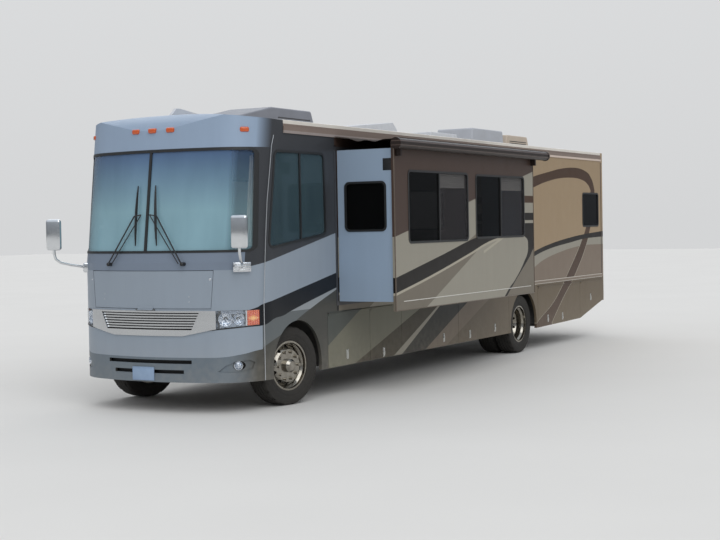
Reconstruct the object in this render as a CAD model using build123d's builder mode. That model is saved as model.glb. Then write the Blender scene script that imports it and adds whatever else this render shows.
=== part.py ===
"""Bus-front motorhome with a rear engine, a left slide-out room and twin rear wheels.

The model is drawn with X forward, Y to the left and Z up from the ground, and X = 0 at
the front axle. At the end everything is moved so that the origin is under the middle of
the overall box. All sizes are in millimetres.
"""
from build123d import *
import copy
import math
import os

os.makedirs("parts", exist_ok=True)

# Whole vehicle
wheelbase = 7010
body_width = 2565
wall = 40
nose_x = 1280
rear_x = -11000
bow_radius = 3000
corner_radius = 650
rear_corner_radius = 130
skirt_z = 368
wall_low_z = 1060
lean_z = 1750
lean_slope = 0.1375
roof_edge_z = 3400
roof_crown_z = 3490
wall_top_z = 3300
gap = 6
running_gap = 0.05

# Floor, firewall and storage bays
floor_low_z = 1090
floor_top_z = 1150
sheet = 12
firewall_x = 1080
firewall_top_z = 1640
engine_well_x = -9150
engine_well_half = 720
engine_cover_z = 1780
bay_inner_y = 470
bay_outer_y = 1235
pan_rise = 22
stair_middle_y = 900
stair_inner_y = 600

# Chassis frame
rail_y = 430
rail_width = 80
rail_top_z = 1050
rail_depth = 240
frame_front_x = 1050
frame_rear_x = -10700
member_width = 80
cross_members = [960, -950, -2600, -4400, -6150, -8300, -10620]
floor_pads = [700, -1200, -3600, -6000, -8500, -10400]
front_beam_x = 970
front_beam_half = 700
front_beam_z = (480, 600)
tow_eye_x = 1080
tow_eye_radius = 20
tow_eye_rim = 22
tow_plate = 20
hitch_z = 560
hitch_outer = 64
hitch_inner = 51
hitch_mouth_x = -11010
hitch_depth = 280
hitch_beam_x = -10620
hitch_pin_back = 60
hitch_pin_radius = 8.1

# Engine and gearbox
engine_rear_x = -10500
engine_front_x = -9300
engine_half = 375
engine_low_z = 450
engine_high_z = 1060
gearbox_front_x = -8700
gearbox_half = 230
gearbox_low_z = 520
gearbox_high_z = 900

# Axles, springs and steering
axle_z = 474
rest_turn = -12
kingpin_y = 930
kingpin_radius = 25
eye_radius = 46
eye_low_z = 430
eye_high_z = 530
beam_half = 42
beam_low_z = 380
beam_high_z = 470
beam_shoulder_y = 800
spring_pad = 30
spring_half = 590
spring_thickness = 60
hanger_width = 60
ear_radius = 46
ear_half = 42
ear_height = 50
upright_in = 56
upright_out = 84
brake_plate_y = 1028
brake_plate_thickness = 8
brake_plate_radius = 170
brake_plate_boss = 60
spindle_radius = 40
spindle_end_y = 1190
arm_length = 180
arm_half = 15
arm_z = 400
arm_thickness = 30
arm_boss_radius = 26
tie_pin_radius = 10
tie_boss_radius = 22
tie_boss_height = 40
tie_rod_radius = 16
open_pivot_gap = 5
housing_radius = 90
final_drive_radius = 210
final_drive_half = 150
shaft_radius = 45
shaft_end_z = 600
hub_rear_in_y = 700
rear_spindle_radius = 60
rear_spindle_end_y = 995

# Wheels and tyres, with places along the axle measured from the vehicle's middle
wheel_centre_y = 1077
twin_spacing = 314
inner_centre_y = wheel_centre_y - twin_spacing
tyre_radius = 474
tyre_half = 138
sidewall_radius = 385
rim_half = 115
flange_width = 12
flange_radius = 298.5
seat_radius = 286
bead_half = 70
well_half = 42
well_depth = 24
rim_thickness = 9
disc_flat = 195
disc_drop = 62
rear_disc_drop = 125
disc_thickness = 12
front_disc_y = 1172
lug_count = 10
lug_circle = 167.5
lug_radius = 18
lug_height = 30
hand_hole_circle = 224
hand_hole_radius = 22
hub_radius = 80
hub_front_in_y = 1036
hub_cap_y = 1215
hub_cap_end_y = 1245
drum_radius = 205
drum_wall = 20
drum_out_y = 1140
twin_plane_y = 920
hub_rear_radius = 95
hub_rear_cap_y = 1030
hub_rear_end_y = 1058

half_width = body_width / 2
form_top_z = roof_crown_z + 60


def body_plan(z, inset, lean):
    """Body outline seen from above: bowed nose, round corners, flat sides, square tail."""
    half = half_width - inset
    bow = bow_radius - inset
    corner = corner_radius - inset
    tail = rear_corner_radius - inset
    tail_x = rear_x + inset
    bow_x = nose_x - lean - inset - bow
    corner_y = half - corner
    corner_x = bow_x + math.sqrt((bow - corner) ** 2 - corner_y ** 2)
    turn = math.atan2(corner_y, corner_x - bow_x)
    middle = (turn + math.pi / 2) / 2
    touch = (bow_x + bow * math.cos(turn), bow * math.sin(turn))
    with BuildSketch(Plane.XY.offset(z)) as plan:
        with BuildLine():
            ThreePointArc(
                (nose_x - lean - inset, 0),
                (bow_x + bow * math.cos(turn / 2), bow * math.sin(turn / 2)),
                touch,
            )
            ThreePointArc(
                touch,
                (corner_x + corner * math.cos(middle), corner_y + corner * math.sin(middle)),
                (corner_x, half),
            )
            Line((corner_x, half), (tail_x + tail, half))
            RadiusArc((tail_x + tail, half), (tail_x, half - tail), -tail)
            Line((tail_x, half - tail), (tail_x, 0))
            mirror(about=Plane.XZ)
        make_face()
    return plan.sketch


def body_form(inset):
    """The whole body as one solid, upright below the windshield and leaning back above."""
    top_lean = (form_top_z - lean_z) * lean_slope
    with BuildPart() as form:
        extrude(body_plan(skirt_z, inset, 0), amount=lean_z - skirt_z)
        loft([body_plan(lean_z, inset, 0), body_plan(form_top_z, inset, top_lean)], ruled=True)
    return form.part


def skin(outer_inset, inner_inset):
    """A shell between two insets from the body's outer face."""
    with BuildPart() as layer:
        add(body_form(outer_inset))
        add(body_form(inner_inset), mode=Mode.SUBTRACT)
    return layer.part


def side_plane(y):
    return Plane(origin=(0, y, 0), x_dir=(1, 0, 0), z_dir=(0, -1, 0))


def front_plane(x):
    return Plane(origin=(x, 0, 0), x_dir=(0, 1, 0), z_dir=(1, 0, 0))


def side_prism(points, y_low, y_high, rounding=0):
    """A prism whose outline is given in side view as (x, z) points."""
    with BuildPart() as prism:
        with BuildSketch(side_plane(y_high)) as outline:
            with BuildLine():
                Polyline(points, close=True)
            make_face()
            if rounding:
                fillet(outline.vertices(), rounding)
        extrude(amount=y_high - y_low)
    return prism.part


def front_prism(points, x_low, x_high, rounding=0):
    """A prism whose outline is given in front view as (y, z) points."""
    with BuildPart() as prism:
        with BuildSketch(front_plane(x_low)) as outline:
            with BuildLine():
                Polyline(points, close=True)
            make_face()
            if rounding:
                fillet(outline.vertices(), rounding)
        extrude(amount=x_high - x_low)
    return prism.part


def rectangle(low, high, z_low, z_high):
    return [(low, z_low), (high, z_low), (high, z_high), (low, z_high)]


def grown(points, amount):
    """The outline moved outwards by an amount, or inwards by a negative one."""
    with BuildSketch(Plane.XY) as outline:
        with BuildLine():
            Polyline(points, close=True)
        make_face()
        offset(amount=amount, kind=Kind.INTERSECTION)
    corners = outline.face().outer_wire().order_edges()
    return [tuple(edge.start_point())[:2] for edge in corners]


def box(x_low, x_high, y_low, y_high, z_low, z_high, mode=Mode.ADD):
    """A block between two corners, for use inside a part's own block."""
    with Locations(((x_low + x_high) / 2, (y_low + y_high) / 2, (z_low + z_high) / 2)):
        Box(x_high - x_low, y_high - y_low, z_high - z_low, mode=mode)


nodes = {}


def finish(name, part):
    """Keeps a finished piece as a copy that shares nothing with the shells it came from."""
    nodes[name] = copy.deepcopy(part)


# Side view of the join between front cap and walls
seam_x = 725
seam_bend_z = 1300
seam_top_x = 495
seam_top_z = 3093
rear_seam_x = -10800
front_reach = nose_x + 200
cap_top_x = 238

cap_side = [
    (seam_x, skirt_z - 50),
    (front_reach, skirt_z - 50),
    (front_reach, form_top_z + 50),
    (cap_top_x, form_top_z + 50),
    (cap_top_x, wall_top_z),
    (370, 3269),
    (447, 3213),
    (seam_top_x, seam_top_z),
    (seam_x, seam_bend_z),
]
wall_side = [
    (rear_seam_x, wall_low_z),
    (seam_x, wall_low_z),
    (seam_x, seam_bend_z),
    (seam_top_x, seam_top_z),
    (447, 3213),
    (370, 3269),
    (cap_top_x, wall_top_z),
    (rear_seam_x, wall_top_z),
]

# Arches
arch_radius = 545
arch_z = 472
fender_front = (-705, seam_x)
fender_rear = (-7620, -6390)

# Windows on the flat sides, as outlines in side view
driver_window = [(612, 1880), (440, 3045), (-690, 3045), (-712, 2030)]
driver_window_radius = 85
rear_window_left = rectangle(-10660, -9806, 2032, 2657)
right_windows = {
    "lounge": rectangle(-3250, -1900, 1930, 2830),
    "galley": rectangle(-5300, -4300, 2130, 2830),
    "bedroom": rectangle(-9300, -7900, 2030, 2750),
}
window_radius = 70
frame_width = 28
glass_inset = 9
glass_thickness = 6

# Windshield in front view
windshield = [(-1240, 1862), (1240, 1862), (1215, 3062), (-1215, 3062)]
windshield_radius = 70
divider_width = 34

# Front end, in front view
hood_half_top = 875
hood_half_bottom = 840
hood_low_z = 1222
hood_high_z = 1654
hood_thickness = 24
lamp_band_high_z = 1196
grille_half = 900
lamp_back_x = 740
lower_bumper_top_z = 640
lamp_band_outline = [
    (-1244, 1020),
    (-grille_half, 985),
    (-500, 905),
    (500, 905),
    (grille_half, 985),
    (1244, 1020),
    (1244, lamp_band_high_z),
    (-1244, lamp_band_high_z),
]

# Bar between the fixed and the sliding pane of the driver's window
driver_bar = rectangle(-130, -102, 1985, 3030)

# Mouldings along the sides
belt_low_z = 1097
belt_high_z = 1155
belt_front_x = -7417
belt_proud = 8
trim_proud = 5

# Engine hatch in the rear
hatch_half = 620
hatch_low_z = 950
hatch_high_z = 1750
hatch_thickness = 30
rear_hinge_half = 500
hood_hinge_half = 110

# Grille opening, in front view
grille_opening = [(-614, 977), (614, 977), (709, 1174), (-709, 1174)]
louvre_count = 6
louvre_height = 17

# Marker lamps on the front of the roof: x, y, z
marker_places = [
    (761, -1089, 3268),
    (1035, -250, 3288),
    (1050, 0, 3288),
    (1035, 250, 3288),
    (761, 1089, 3268),
]
marker_width = 96
marker_height = 26
marker_depth = 45

# Wipers and mirrors
wiper_pivot = (1250, 530, 1730)
wiper_stand = 22
wiper_arm_radius = 8
wiper_blade_y = 60
wiper_blade_radius = 8
wiper_blade_z = (1950, 2650)
wiper_joint_z = 2290
blade_stand = 11
mirror_x = (1255, 1345)
mirror_y = (1240, 1460)
mirror_z = (1900, 2290)
mirror_rounding = 44
mirror_edge_rounding = 16
mirror_foot = (950, 1130, 1690)
mirror_elbow = (1290, 1345, 1780)
mirror_arm_radius = 22
mirror_foot_size = (100, 214, 115)
mirror_foot_turn = 50.5
mirror_foot_rounding = 12

# Cab, in side view
dash_half = 1150
dash_side = [
    (1080, 1450),
    (1080, 1640),
    (1225, 1640),
    (1225, 1800),
    (1000, 1850),
    (760, 1825),
    (690, 1700),
    (740, 1500),
]
column_foot = (780, 640, 1700)
wheel_place = (560, 640, 1870)
steering_radius = 225
seat_y = 640
seat_half = 250
seat_base_side = [(-270, 1440), (290, 1460), (290, 1590), (-270, 1570)]
seat_back_side = [(-270, 1571), (-120, 1576), (-250, 2330), (-370, 2310)]

# Roof equipment: low y, high y, rounding, outline in side view
roof_base_z = 3380
front_unit = [
    (-210, roof_base_z),
    (-210, 3530),
    (-1010, 3690),
    (-1980, 3690),
    (-2070, 3490),
    (-2070, roof_base_z),
]
vent_box = [(-7135, roof_base_z), (-7200, 3740), (-8450, 3740), (-8510, roof_base_z)]
rear_unit = [(-8545, roof_base_z), (-8640, 3690), (-9560, 3690), (-9700, roof_base_z)]
shroud = [
    (-2250, roof_base_z),
    (-2250, 3480),
    (-4400, 3675),
    (-4530, 3570),
    (-4530, roof_base_z),
]
fan_lid = [(-5640, roof_base_z), (-5680, 3600), (-6640, 3600), (-6690, roof_base_z)]
aerial_fin = [
    (670, roof_base_z),
    (670, 3500),
    (560, 3590),
    (480, 3590),
    (-120, 3520),
    (-120, roof_base_z),
]
roof_items = {
    "roof_units": [(-330, 330, 40, front_unit), (-330, 330, 40, vent_box), (-330, 330, 40, rear_unit)],
    "roof_fittings": [(-300, 300, 20, shroud), (-100, 300, 20, fan_lid), (-60, -20, 4, aerial_fin)],
}

# Patio awning on the right
awning_front_x = -1700
awning_rear_x = -6500
awning_z = 3170
awning_out = 70
awning_radius = 52
awning_arm = 42
awning_foot_z = 1320

# Rear lamps
rear_lamp_y = 1050
rear_lamp_width = 130
rear_lamp_z = (1200, 1700)
rear_lamp_proud = 15

# Slide-out room
slide_front_x = -986
slide_rear_x = -5405
slide_low_z = 1188
slide_high_z = 3084
slide_depth = 833
slide_wall = 40
slide_travel = 780
slide_clearance = 8
opening_trim = 42
inner_flange_y = 1195
inner_flange_width = 30
frame_depth = 32
frame_proud = 6
split_bar = 26
fascia_low_z = 1070
fascia_high_z = 3104
fascia_margin = 20
slide_outer_y = half_width + slide_depth
slide_windows = {
    "first": rectangle(-3112, -1326, 1899, 2827),
    "second": rectangle(-5085, -3351, 1922, 2816),
}
slide_end_window = rectangle(1395, 1992, 2060, 2685)

# Topper awning over the slide-out
topper_front_x = -879
topper_rear_x = -5773
topper_y = 2190
topper_z = 3136
topper_radius = 72
topper_roll_radius = 66
topper_cap_width = 34
topper_rail_z = 3262
bracket_width = 40
sheet_lift = 6
sheet_thickness = 6

# Baggage doors: side, front edge, rear edge, height of the bottom edge at each end
seam_gap = 3
door_top_z = 1045
door_thickness = 28
kick_x = -9628
kick_z = 395
tail_low_z = 653
bay_doors = {
    "bay_door_left_1": (1, -705, -1789, skirt_z, skirt_z),
    "bay_door_left_2": (1, -1789, -2685, skirt_z, skirt_z),
    "bay_door_left_3": (1, -2685, -4499, skirt_z, skirt_z),
    "bay_door_left_4": (1, -4499, -6390, skirt_z, skirt_z),
    "bay_door_left_5": (1, -7620, kick_x, skirt_z, kick_z),
    "bay_door_left_6": (1, kick_x, rear_seam_x, kick_z, tail_low_z),
    "bay_door_right_1": (-1, -1789, -4100, skirt_z, skirt_z),
    "bay_door_right_2": (-1, -4100, -6390, skirt_z, skirt_z),
    "bay_door_right_3": (-1, -7620, kick_x, skirt_z, kick_z),
    "bay_door_right_4": (-1, kick_x, rear_seam_x, kick_z, tail_low_z),
}

# Hinges of doors and hatches: pin, barrel and leaf
hinge_out = 9
hinge_z = 1054
hinge_pin_radius = 4
hinge_barrel_radius = 7
hinge_bracket = 20
hinge_leaf = 4

# Entry door on the right, in side view
entry_front_x = -790
entry_rear_x = -1475
entry_low_z = 560
entry_high_z = 2600
entry_radius = 60
entry_thickness = 36
entry_glass_outline = rectangle(-1330, -935, 1700, 2420)

# Shells that the panels are cut from
outer_form = body_form(0)
hollow_form = body_form(wall)
wall_skin = skin(0, wall)
glass_skin = skin(glass_inset, glass_inset + glass_thickness)
frame_skin = skin(-6, wall - 8)
lamp_skin = skin(4, wall - 6)
chrome_skin = skin(-14, wall - 14)
louvre_skin = skin(4, 24)

# Roof: crowned slab with rounded edges, and the gutter mouldings along the walls
gutter_low_z = 3248
gutter_high_z = 3330
gutter_proud = 13
edge_radius = 60
ceiling_z = 3335
front_round_z = 3290
front_round_back = 420


def crown_section(x):
    """Roof section in front view, from the wall tops up to the crown."""
    with BuildSketch(front_plane(x)) as section:
        with BuildLine():
            Line((half_width + 30, 0), (half_width + 30, roof_edge_z))
            ThreePointArc(
                (half_width + 30, roof_edge_z),
                (0, roof_crown_z),
                (-half_width - 30, roof_edge_z),
            )
            Line((-half_width - 30, roof_edge_z), (-half_width - 30, 0))
            Line((-half_width - 30, 0), (half_width + 30, 0))
        make_face()
        fillet(section.vertices().group_by(Axis.Y)[-1], edge_radius)
    return section.sketch


nose_round_x = nose_x - (front_round_z - lean_z) * lean_slope
with BuildPart() as crown_form:
    extrude(crown_section(rear_x - 100), amount=front_reach - rear_x + 100)
    with BuildSketch(side_plane(half_width + 100)):
        with BuildLine():
            Line((rear_x - 50, 0), (front_reach, 0))
            Line((front_reach, 0), (front_reach, front_round_z))
            Line((front_reach, front_round_z), (nose_round_x, front_round_z))
            ThreePointArc(
                (nose_round_x, front_round_z),
                (nose_round_x - 105, front_round_z + 118),
                (nose_round_x - front_round_back, roof_crown_z + 5),
            )
            Line((nose_round_x - front_round_back, roof_crown_z + 5), (rear_x + 190, roof_crown_z + 5))
            ThreePointArc(
                (rear_x + 190, roof_crown_z + 5),
                (rear_x + 52, roof_crown_z - 52),
                (rear_x, roof_crown_z - 190),
            )
            Line((rear_x, roof_crown_z - 190), (rear_x - 50, roof_crown_z - 190))
            Line((rear_x - 50, roof_crown_z - 190), (rear_x - 50, 0))
        make_face()
    extrude(amount=body_width + 200, mode=Mode.INTERSECT)

with BuildPart() as inside:
    box(rear_x, front_reach, -half_width, half_width, 0, ceiling_z)
    add(hollow_form, mode=Mode.INTERSECT)

with BuildPart() as whole_shell:
    add(outer_form)
    add(crown_form.part, mode=Mode.INTERSECT)
    add(inside.part, mode=Mode.SUBTRACT)

both = half_width + 60
nose_inside_x = 650
windshield_prism = front_prism(windshield, nose_inside_x, front_reach, windshield_radius)
hood_outline = [
    (-hood_half_bottom, hood_low_z),
    (hood_half_bottom, hood_low_z),
    (hood_half_top, hood_high_z),
    (-hood_half_top, hood_high_z),
]

# Front cap: the moulded nose around windshield, hood, grille and lamps
with BuildPart() as front_cap:
    add(whole_shell.part)
    add(side_prism(cap_side, -both, both), mode=Mode.INTERSECT)
    add(windshield_prism, mode=Mode.SUBTRACT)
    add(front_prism(grown(hood_outline, gap), 900, front_reach), mode=Mode.SUBTRACT)
    add(front_prism(lamp_band_outline, lamp_back_x, front_reach), mode=Mode.SUBTRACT)
    box(0, front_reach, -both, both, 0, lower_bumper_top_z, mode=Mode.SUBTRACT)
finish("front_cap", front_cap.part)

# Lower bumper with its two air slots and the fog lamp recesses
slot_height = 44
air_slots = [(600, 605), (500, 490)]
fog_y = 1090
fog_z = 560
fog_radius = 46
fog_recess_depth = 14
fog_recess = [
    (904, 496),
    (985, 564),
    (1085, 611),
    (1182, 620),
    (1214, 592),
    (1200, 514),
    (1107, 483),
    (1003, 483),
]
with BuildPart() as fog_recesses:
    for side in (-1, 1):
        eye = [(side * eye_y, eye_z) for eye_y, eye_z in fog_recess]
        add(front_prism(eye, nose_inside_x, front_reach))
    add(skin(-20, fog_recess_depth), mode=Mode.INTERSECT)
with BuildPart() as lower_bumper:
    add(whole_shell.part)
    add(side_prism(cap_side, -both, both), mode=Mode.INTERSECT)
    box(0, front_reach, -both, both, lower_bumper_top_z, form_top_z, mode=Mode.SUBTRACT)
    for slot_half, slot_z in air_slots:
        slot = rectangle(-slot_half, slot_half, slot_z - slot_height / 2, slot_z + slot_height / 2)
        add(front_prism(slot, 1000, front_reach), mode=Mode.SUBTRACT)
    for side in (-1, 1):
        with Locations(Location((950, side * fog_y, fog_z), (0, 90, 0))):
            Cylinder(fog_radius + 8, 400, mode=Mode.SUBTRACT)
    add(fog_recesses.part, mode=Mode.SUBTRACT)
finish("lower_bumper", lower_bumper.part)


def rod(start, end, radius, mode=Mode.ADD):
    """A round bar between two points, for use inside a part's own block."""
    path = Vector(*end) - Vector(*start)
    with Locations(Plane(origin=start, z_dir=path).location):
        Cylinder(radius, path.length, align=(Align.CENTER, Align.CENTER, Align.MIN), mode=mode)


def inner(points, rounding, inset, low, high):
    """A window outline moved inwards, as a prism through both side walls."""
    return side_prism(grown(points, -inset), low, high, rounding - inset)


# Side walls with their windows, the slide-out opening and the entry door cut out
opening_outline = rectangle(
    slide_rear_x - slide_clearance,
    slide_front_x + slide_clearance,
    slide_low_z - slide_clearance,
    slide_high_z + slide_clearance,
)
door_outline = rectangle(entry_rear_x, entry_front_x, entry_low_z, entry_high_z)
left_windows = [(driver_window, driver_window_radius), (rear_window_left, window_radius)]
right_side_windows = [(driver_window, driver_window_radius)]
right_side_windows += [(outline, window_radius) for outline in right_windows.values()]

with BuildPart() as wall_left:
    add(wall_skin)
    add(side_prism(wall_side, 0, both), mode=Mode.INTERSECT)
    for outline, rounding in left_windows:
        add(side_prism(outline, 0, both, rounding), mode=Mode.SUBTRACT)
    add(side_prism(opening_outline, 0, both), mode=Mode.SUBTRACT)
finish("wall_left", wall_left.part)

with BuildPart() as wall_right:
    add(wall_skin)
    add(side_prism(wall_side, -both, 0), mode=Mode.INTERSECT)
    for outline, rounding in right_side_windows:
        add(side_prism(outline, -both, 0, rounding), mode=Mode.SUBTRACT)
    add(side_prism(grown(door_outline, gap), -both, 0, entry_radius + gap), mode=Mode.SUBTRACT)
finish("wall_right", wall_right.part)

# Roof with the gutter mouldings that run along both walls
with BuildPart() as roof:
    add(whole_shell.part)
    box(rear_seam_x, cap_top_x, -both, both, wall_top_z, form_top_z, mode=Mode.INTERSECT)
    for side in (-1, 1):
        outer = sorted((side * half_width, side * (half_width + gutter_proud)))
        box(rear_seam_x, cap_top_x, *outer, gutter_low_z, gutter_high_z)
finish("roof", roof.part)

# Rear cap, cut away at the bottom and open where the engine hatch sits
hatch_outline = rectangle(-hatch_half, hatch_half, hatch_low_z, hatch_high_z)
with BuildPart() as rear_cap:
    add(whole_shell.part)
    box(rear_x - 50, rear_seam_x, -both, both, tail_low_z, form_top_z, mode=Mode.INTERSECT)
    add(front_prism(grown(hatch_outline, gap), rear_x - 50, rear_x + 100), mode=Mode.SUBTRACT)
finish("rear_cap", rear_cap.part)

# Panels round the wheel arches, and below the wall beside the entry door
skirt_ranges = [
    (1, fender_front[0] + seam_gap, fender_front[1]),
    (1, fender_rear[0] + seam_gap, fender_rear[1] - seam_gap),
    (-1, -1789 + seam_gap, fender_front[1]),
    (-1, fender_rear[0] + seam_gap, fender_rear[1] - seam_gap),
]
with BuildPart() as arches:
    for wheel_x in (0, -wheelbase):
        rod((wheel_x, -both, arch_z), (wheel_x, both, arch_z), arch_radius)
with BuildPart() as skirt_panels:
    for side, low_x, high_x in skirt_ranges:
        span = sorted((0, side * both))
        add(side_prism(rectangle(low_x, high_x, skirt_z, wall_low_z), *span))
    add(wall_skin, mode=Mode.INTERSECT)
    add(arches.part, mode=Mode.SUBTRACT)
    add(side_prism(grown(door_outline, gap), -both, 0, entry_radius + gap), mode=Mode.SUBTRACT)
finish("skirt_panels", skirt_panels.part)

# Glass: windshield in two panes, and the windows of both sides
with BuildPart() as windshield_glass:
    add(glass_skin)
    inside_seal = grown(windshield, -frame_width)
    add(
        front_prism(inside_seal, nose_inside_x, front_reach, windshield_radius - frame_width),
        mode=Mode.INTERSECT,
    )
    box(
        nose_inside_x,
        front_reach,
        -divider_width / 2,
        divider_width / 2,
        0,
        form_top_z,
        mode=Mode.SUBTRACT,
    )
finish("windshield", windshield_glass.part)

with BuildPart() as side_glass:
    for outline, rounding in left_windows:
        add(inner(outline, rounding, frame_width, 0, both))
    for outline, rounding in right_side_windows:
        add(inner(outline, rounding, frame_width, -both, 0))
    add(glass_skin, mode=Mode.INTERSECT)
finish("side_glass", side_glass.part)

# Frames: rings between a window's outline and its glass, and the windshield seal
with BuildPart() as rings:
    for outline, rounding in left_windows:
        add(side_prism(outline, 0, both, rounding))
    for outline, rounding in right_side_windows:
        add(side_prism(outline, -both, 0, rounding))
    for outline, rounding in left_windows:
        add(inner(outline, rounding, frame_width, 0, both), mode=Mode.SUBTRACT)
    for outline, rounding in right_side_windows:
        add(inner(outline, rounding, frame_width, -both, 0), mode=Mode.SUBTRACT)
    add(side_prism(driver_bar, -both, both))
with BuildPart() as window_frames:
    add(rings.part)
    add(frame_skin, mode=Mode.INTERSECT)
    add(side_glass.part, mode=Mode.SUBTRACT)

with BuildPart() as windshield_seal:
    add(windshield_prism)
    add(
        front_prism(inside_seal, nose_inside_x, front_reach, windshield_radius - frame_width),
        mode=Mode.SUBTRACT,
    )
    box(
        nose_inside_x,
        front_reach,
        -divider_width / 2,
        divider_width / 2,
        windshield[0][1] + frame_width / 2,
        windshield[2][1] - frame_width / 2,
    )
    add(frame_skin, mode=Mode.INTERSECT)

with BuildPart() as all_frames:
    add(window_frames.part)
    add(windshield_seal.part)
finish("window_frames", all_frames.part)

# Trim round the slide-out opening, and the belt mouldings
with BuildPart() as slide_trim:
    with BuildSketch(side_plane(half_width + trim_proud)):
        with BuildLine():
            Polyline(grown(opening_outline, opening_trim), close=True)
        make_face()
        with BuildLine():
            Polyline(opening_outline, close=True)
        make_face(mode=Mode.SUBTRACT)
    extrude(amount=trim_proud)

with BuildPart() as side_trim:
    add(slide_trim.part)
    for side in (-1, 1):
        outer = sorted((side * half_width, side * (half_width + belt_proud)))
        box(rear_seam_x, belt_front_x, *outer, belt_low_z, belt_high_z)
finish("side_trim", side_trim.part)

# Slide-out room: outer wall with its flange, box of four walls, and the inner flange
fascia_y = slide_outer_y - slide_wall
box_outline = rectangle(slide_rear_x, slide_front_x, slide_low_z, slide_high_z)
fascia_outline = rectangle(
    slide_rear_x - fascia_margin,
    slide_front_x + fascia_margin,
    fascia_low_z,
    fascia_high_z,
)
with BuildPart() as slide_box:
    add(side_prism(fascia_outline, fascia_y, slide_outer_y))
    add(side_prism(box_outline, inner_flange_y, fascia_y))
    flange = grown(box_outline, inner_flange_width)
    add(side_prism(flange, inner_flange_y, inner_flange_y + slide_wall))
    hollow = grown(box_outline, -slide_wall)
    add(side_prism(hollow, inner_flange_y, fascia_y), mode=Mode.SUBTRACT)
    for outline in slide_windows.values():
        add(side_prism(outline, fascia_y, slide_outer_y, window_radius), mode=Mode.SUBTRACT)
    add(
        front_prism(slide_end_window, slide_front_x - slide_wall, slide_front_x, window_radius),
        mode=Mode.SUBTRACT,
    )
finish("slide_box", slide_box.part)

glass_y = slide_outer_y - glass_inset
with BuildPart() as slide_glass:
    for outline in slide_windows.values():
        add(inner(outline, window_radius, frame_width, glass_y - glass_thickness, glass_y))
    add(
        front_prism(
            grown(slide_end_window, -frame_width),
            slide_front_x - glass_inset - glass_thickness,
            slide_front_x - glass_inset,
            window_radius - frame_width,
        )
    )
finish("slide_glass", slide_glass.part)

with BuildPart() as slide_frames:
    frame_back = slide_outer_y - frame_depth
    for outline in slide_windows.values():
        add(side_prism(outline, frame_back, slide_outer_y + frame_proud, window_radius))
        middle = (outline[0][0] + outline[1][0]) / 2
        add(inner(outline, window_radius, frame_width, frame_back, both * 2), mode=Mode.SUBTRACT)
        bar = rectangle(
            middle - split_bar / 2,
            middle + split_bar / 2,
            outline[0][1] + frame_width / 2,
            outline[2][1] - frame_width / 2,
        )
        add(side_prism(bar, frame_back, slide_outer_y + frame_proud))
    end_back = slide_front_x - frame_depth
    add(front_prism(slide_end_window, end_back, slide_front_x + frame_proud, window_radius))
    add(
        front_prism(
            grown(slide_end_window, -frame_width),
            end_back,
            slide_front_x + frame_proud,
            window_radius - frame_width,
        ),
        mode=Mode.SUBTRACT,
    )
    add(slide_glass.part, mode=Mode.SUBTRACT)
finish("slide_frames", slide_frames.part)

# Topper awning: roller tube on brackets that stand on the slide-out's outer wall
with BuildPart() as topper_tube:
    roll = [(topper_rear_x, topper_y, topper_z), (topper_front_x, topper_y, topper_z)]
    rod(*roll, topper_roll_radius)
    for low_x in (topper_rear_x, topper_front_x - topper_cap_width):
        cap = [(low_x, topper_y, topper_z), (low_x + topper_cap_width, topper_y, topper_z)]
        rod(*cap, topper_radius)
    for bracket_x in (slide_front_x - slide_wall, slide_rear_x + slide_wall):
        low_x = bracket_x - bracket_width / 2
        box(low_x, low_x + bracket_width, slide_outer_y, topper_y, fascia_high_z - 120, topper_z)
finish("topper_tube", topper_tube.part)

# Topper fabric: a sheet from the gutter moulding down to the top of the tube
sheet_inner = (half_width + gutter_proud, topper_rail_z)
sheet_outer = (topper_y, topper_z + topper_radius + sheet_lift)
with BuildPart() as topper_fabric:
    edge = [
        sheet_inner,
        sheet_outer,
        (sheet_outer[0], sheet_outer[1] + sheet_thickness),
        (sheet_inner[0], sheet_inner[1] + sheet_thickness),
    ]
    add(front_prism(edge, topper_rear_x + 60, topper_front_x - 60))
finish("topper_fabric", topper_fabric.part)


def hinged(side, low_x, high_x):
    """Barrel and leaf that a top-hung side door swings on, for use inside the door's block."""
    axis_y = side * (half_width + hinge_out)
    leaf = sorted((side * (half_width - 1), side * (half_width + hinge_leaf)))
    box(low_x, high_x, *leaf, hinge_z - 40, hinge_z)
    rod((low_x, axis_y, hinge_z), (high_x, axis_y, hinge_z), hinge_barrel_radius)
    bore = hinge_pin_radius + running_gap
    rod((low_x, axis_y, hinge_z), (high_x, axis_y, hinge_z), bore, Mode.SUBTRACT)


# Baggage doors, each on a long hinge along its top edge
hinge_spans = []
for name, (side, front_x, rear_door_x, front_low_z, rear_low_z) in bay_doors.items():
    high_x = front_x - seam_gap
    low_x = rear_door_x + seam_gap
    low_hinge_x = low_x + hinge_bracket
    high_hinge_x = high_x - hinge_bracket
    hinge_spans.append((side, low_x, high_x))
    outline = [(low_x, rear_low_z), (high_x, front_low_z), (high_x, door_top_z), (low_x, door_top_z)]
    slab = sorted((side * half_width, side * (half_width - door_thickness)))
    with BuildPart() as door:
        add(side_prism(outline, *slab))
        hinged(side, low_hinge_x + gap, high_hinge_x - gap)
    finish(name, door.part)

# Hinge pins under the side walls, each held by a bracket at either end
with BuildPart() as door_hinges:
    for side, low_x, high_x in hinge_spans:
        axis_y = side * (half_width + hinge_out)
        rod((low_x + 4, axis_y, hinge_z), (high_x - 4, axis_y, hinge_z), hinge_pin_radius)
        reach_y = sorted((side * (half_width - 20), side * (half_width + hinge_out + 6)))
        for end_x in (low_x + 2, high_x - 2 - hinge_bracket):
            box(end_x, end_x + hinge_bracket, *reach_y, hinge_z - 4, wall_low_z)

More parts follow.
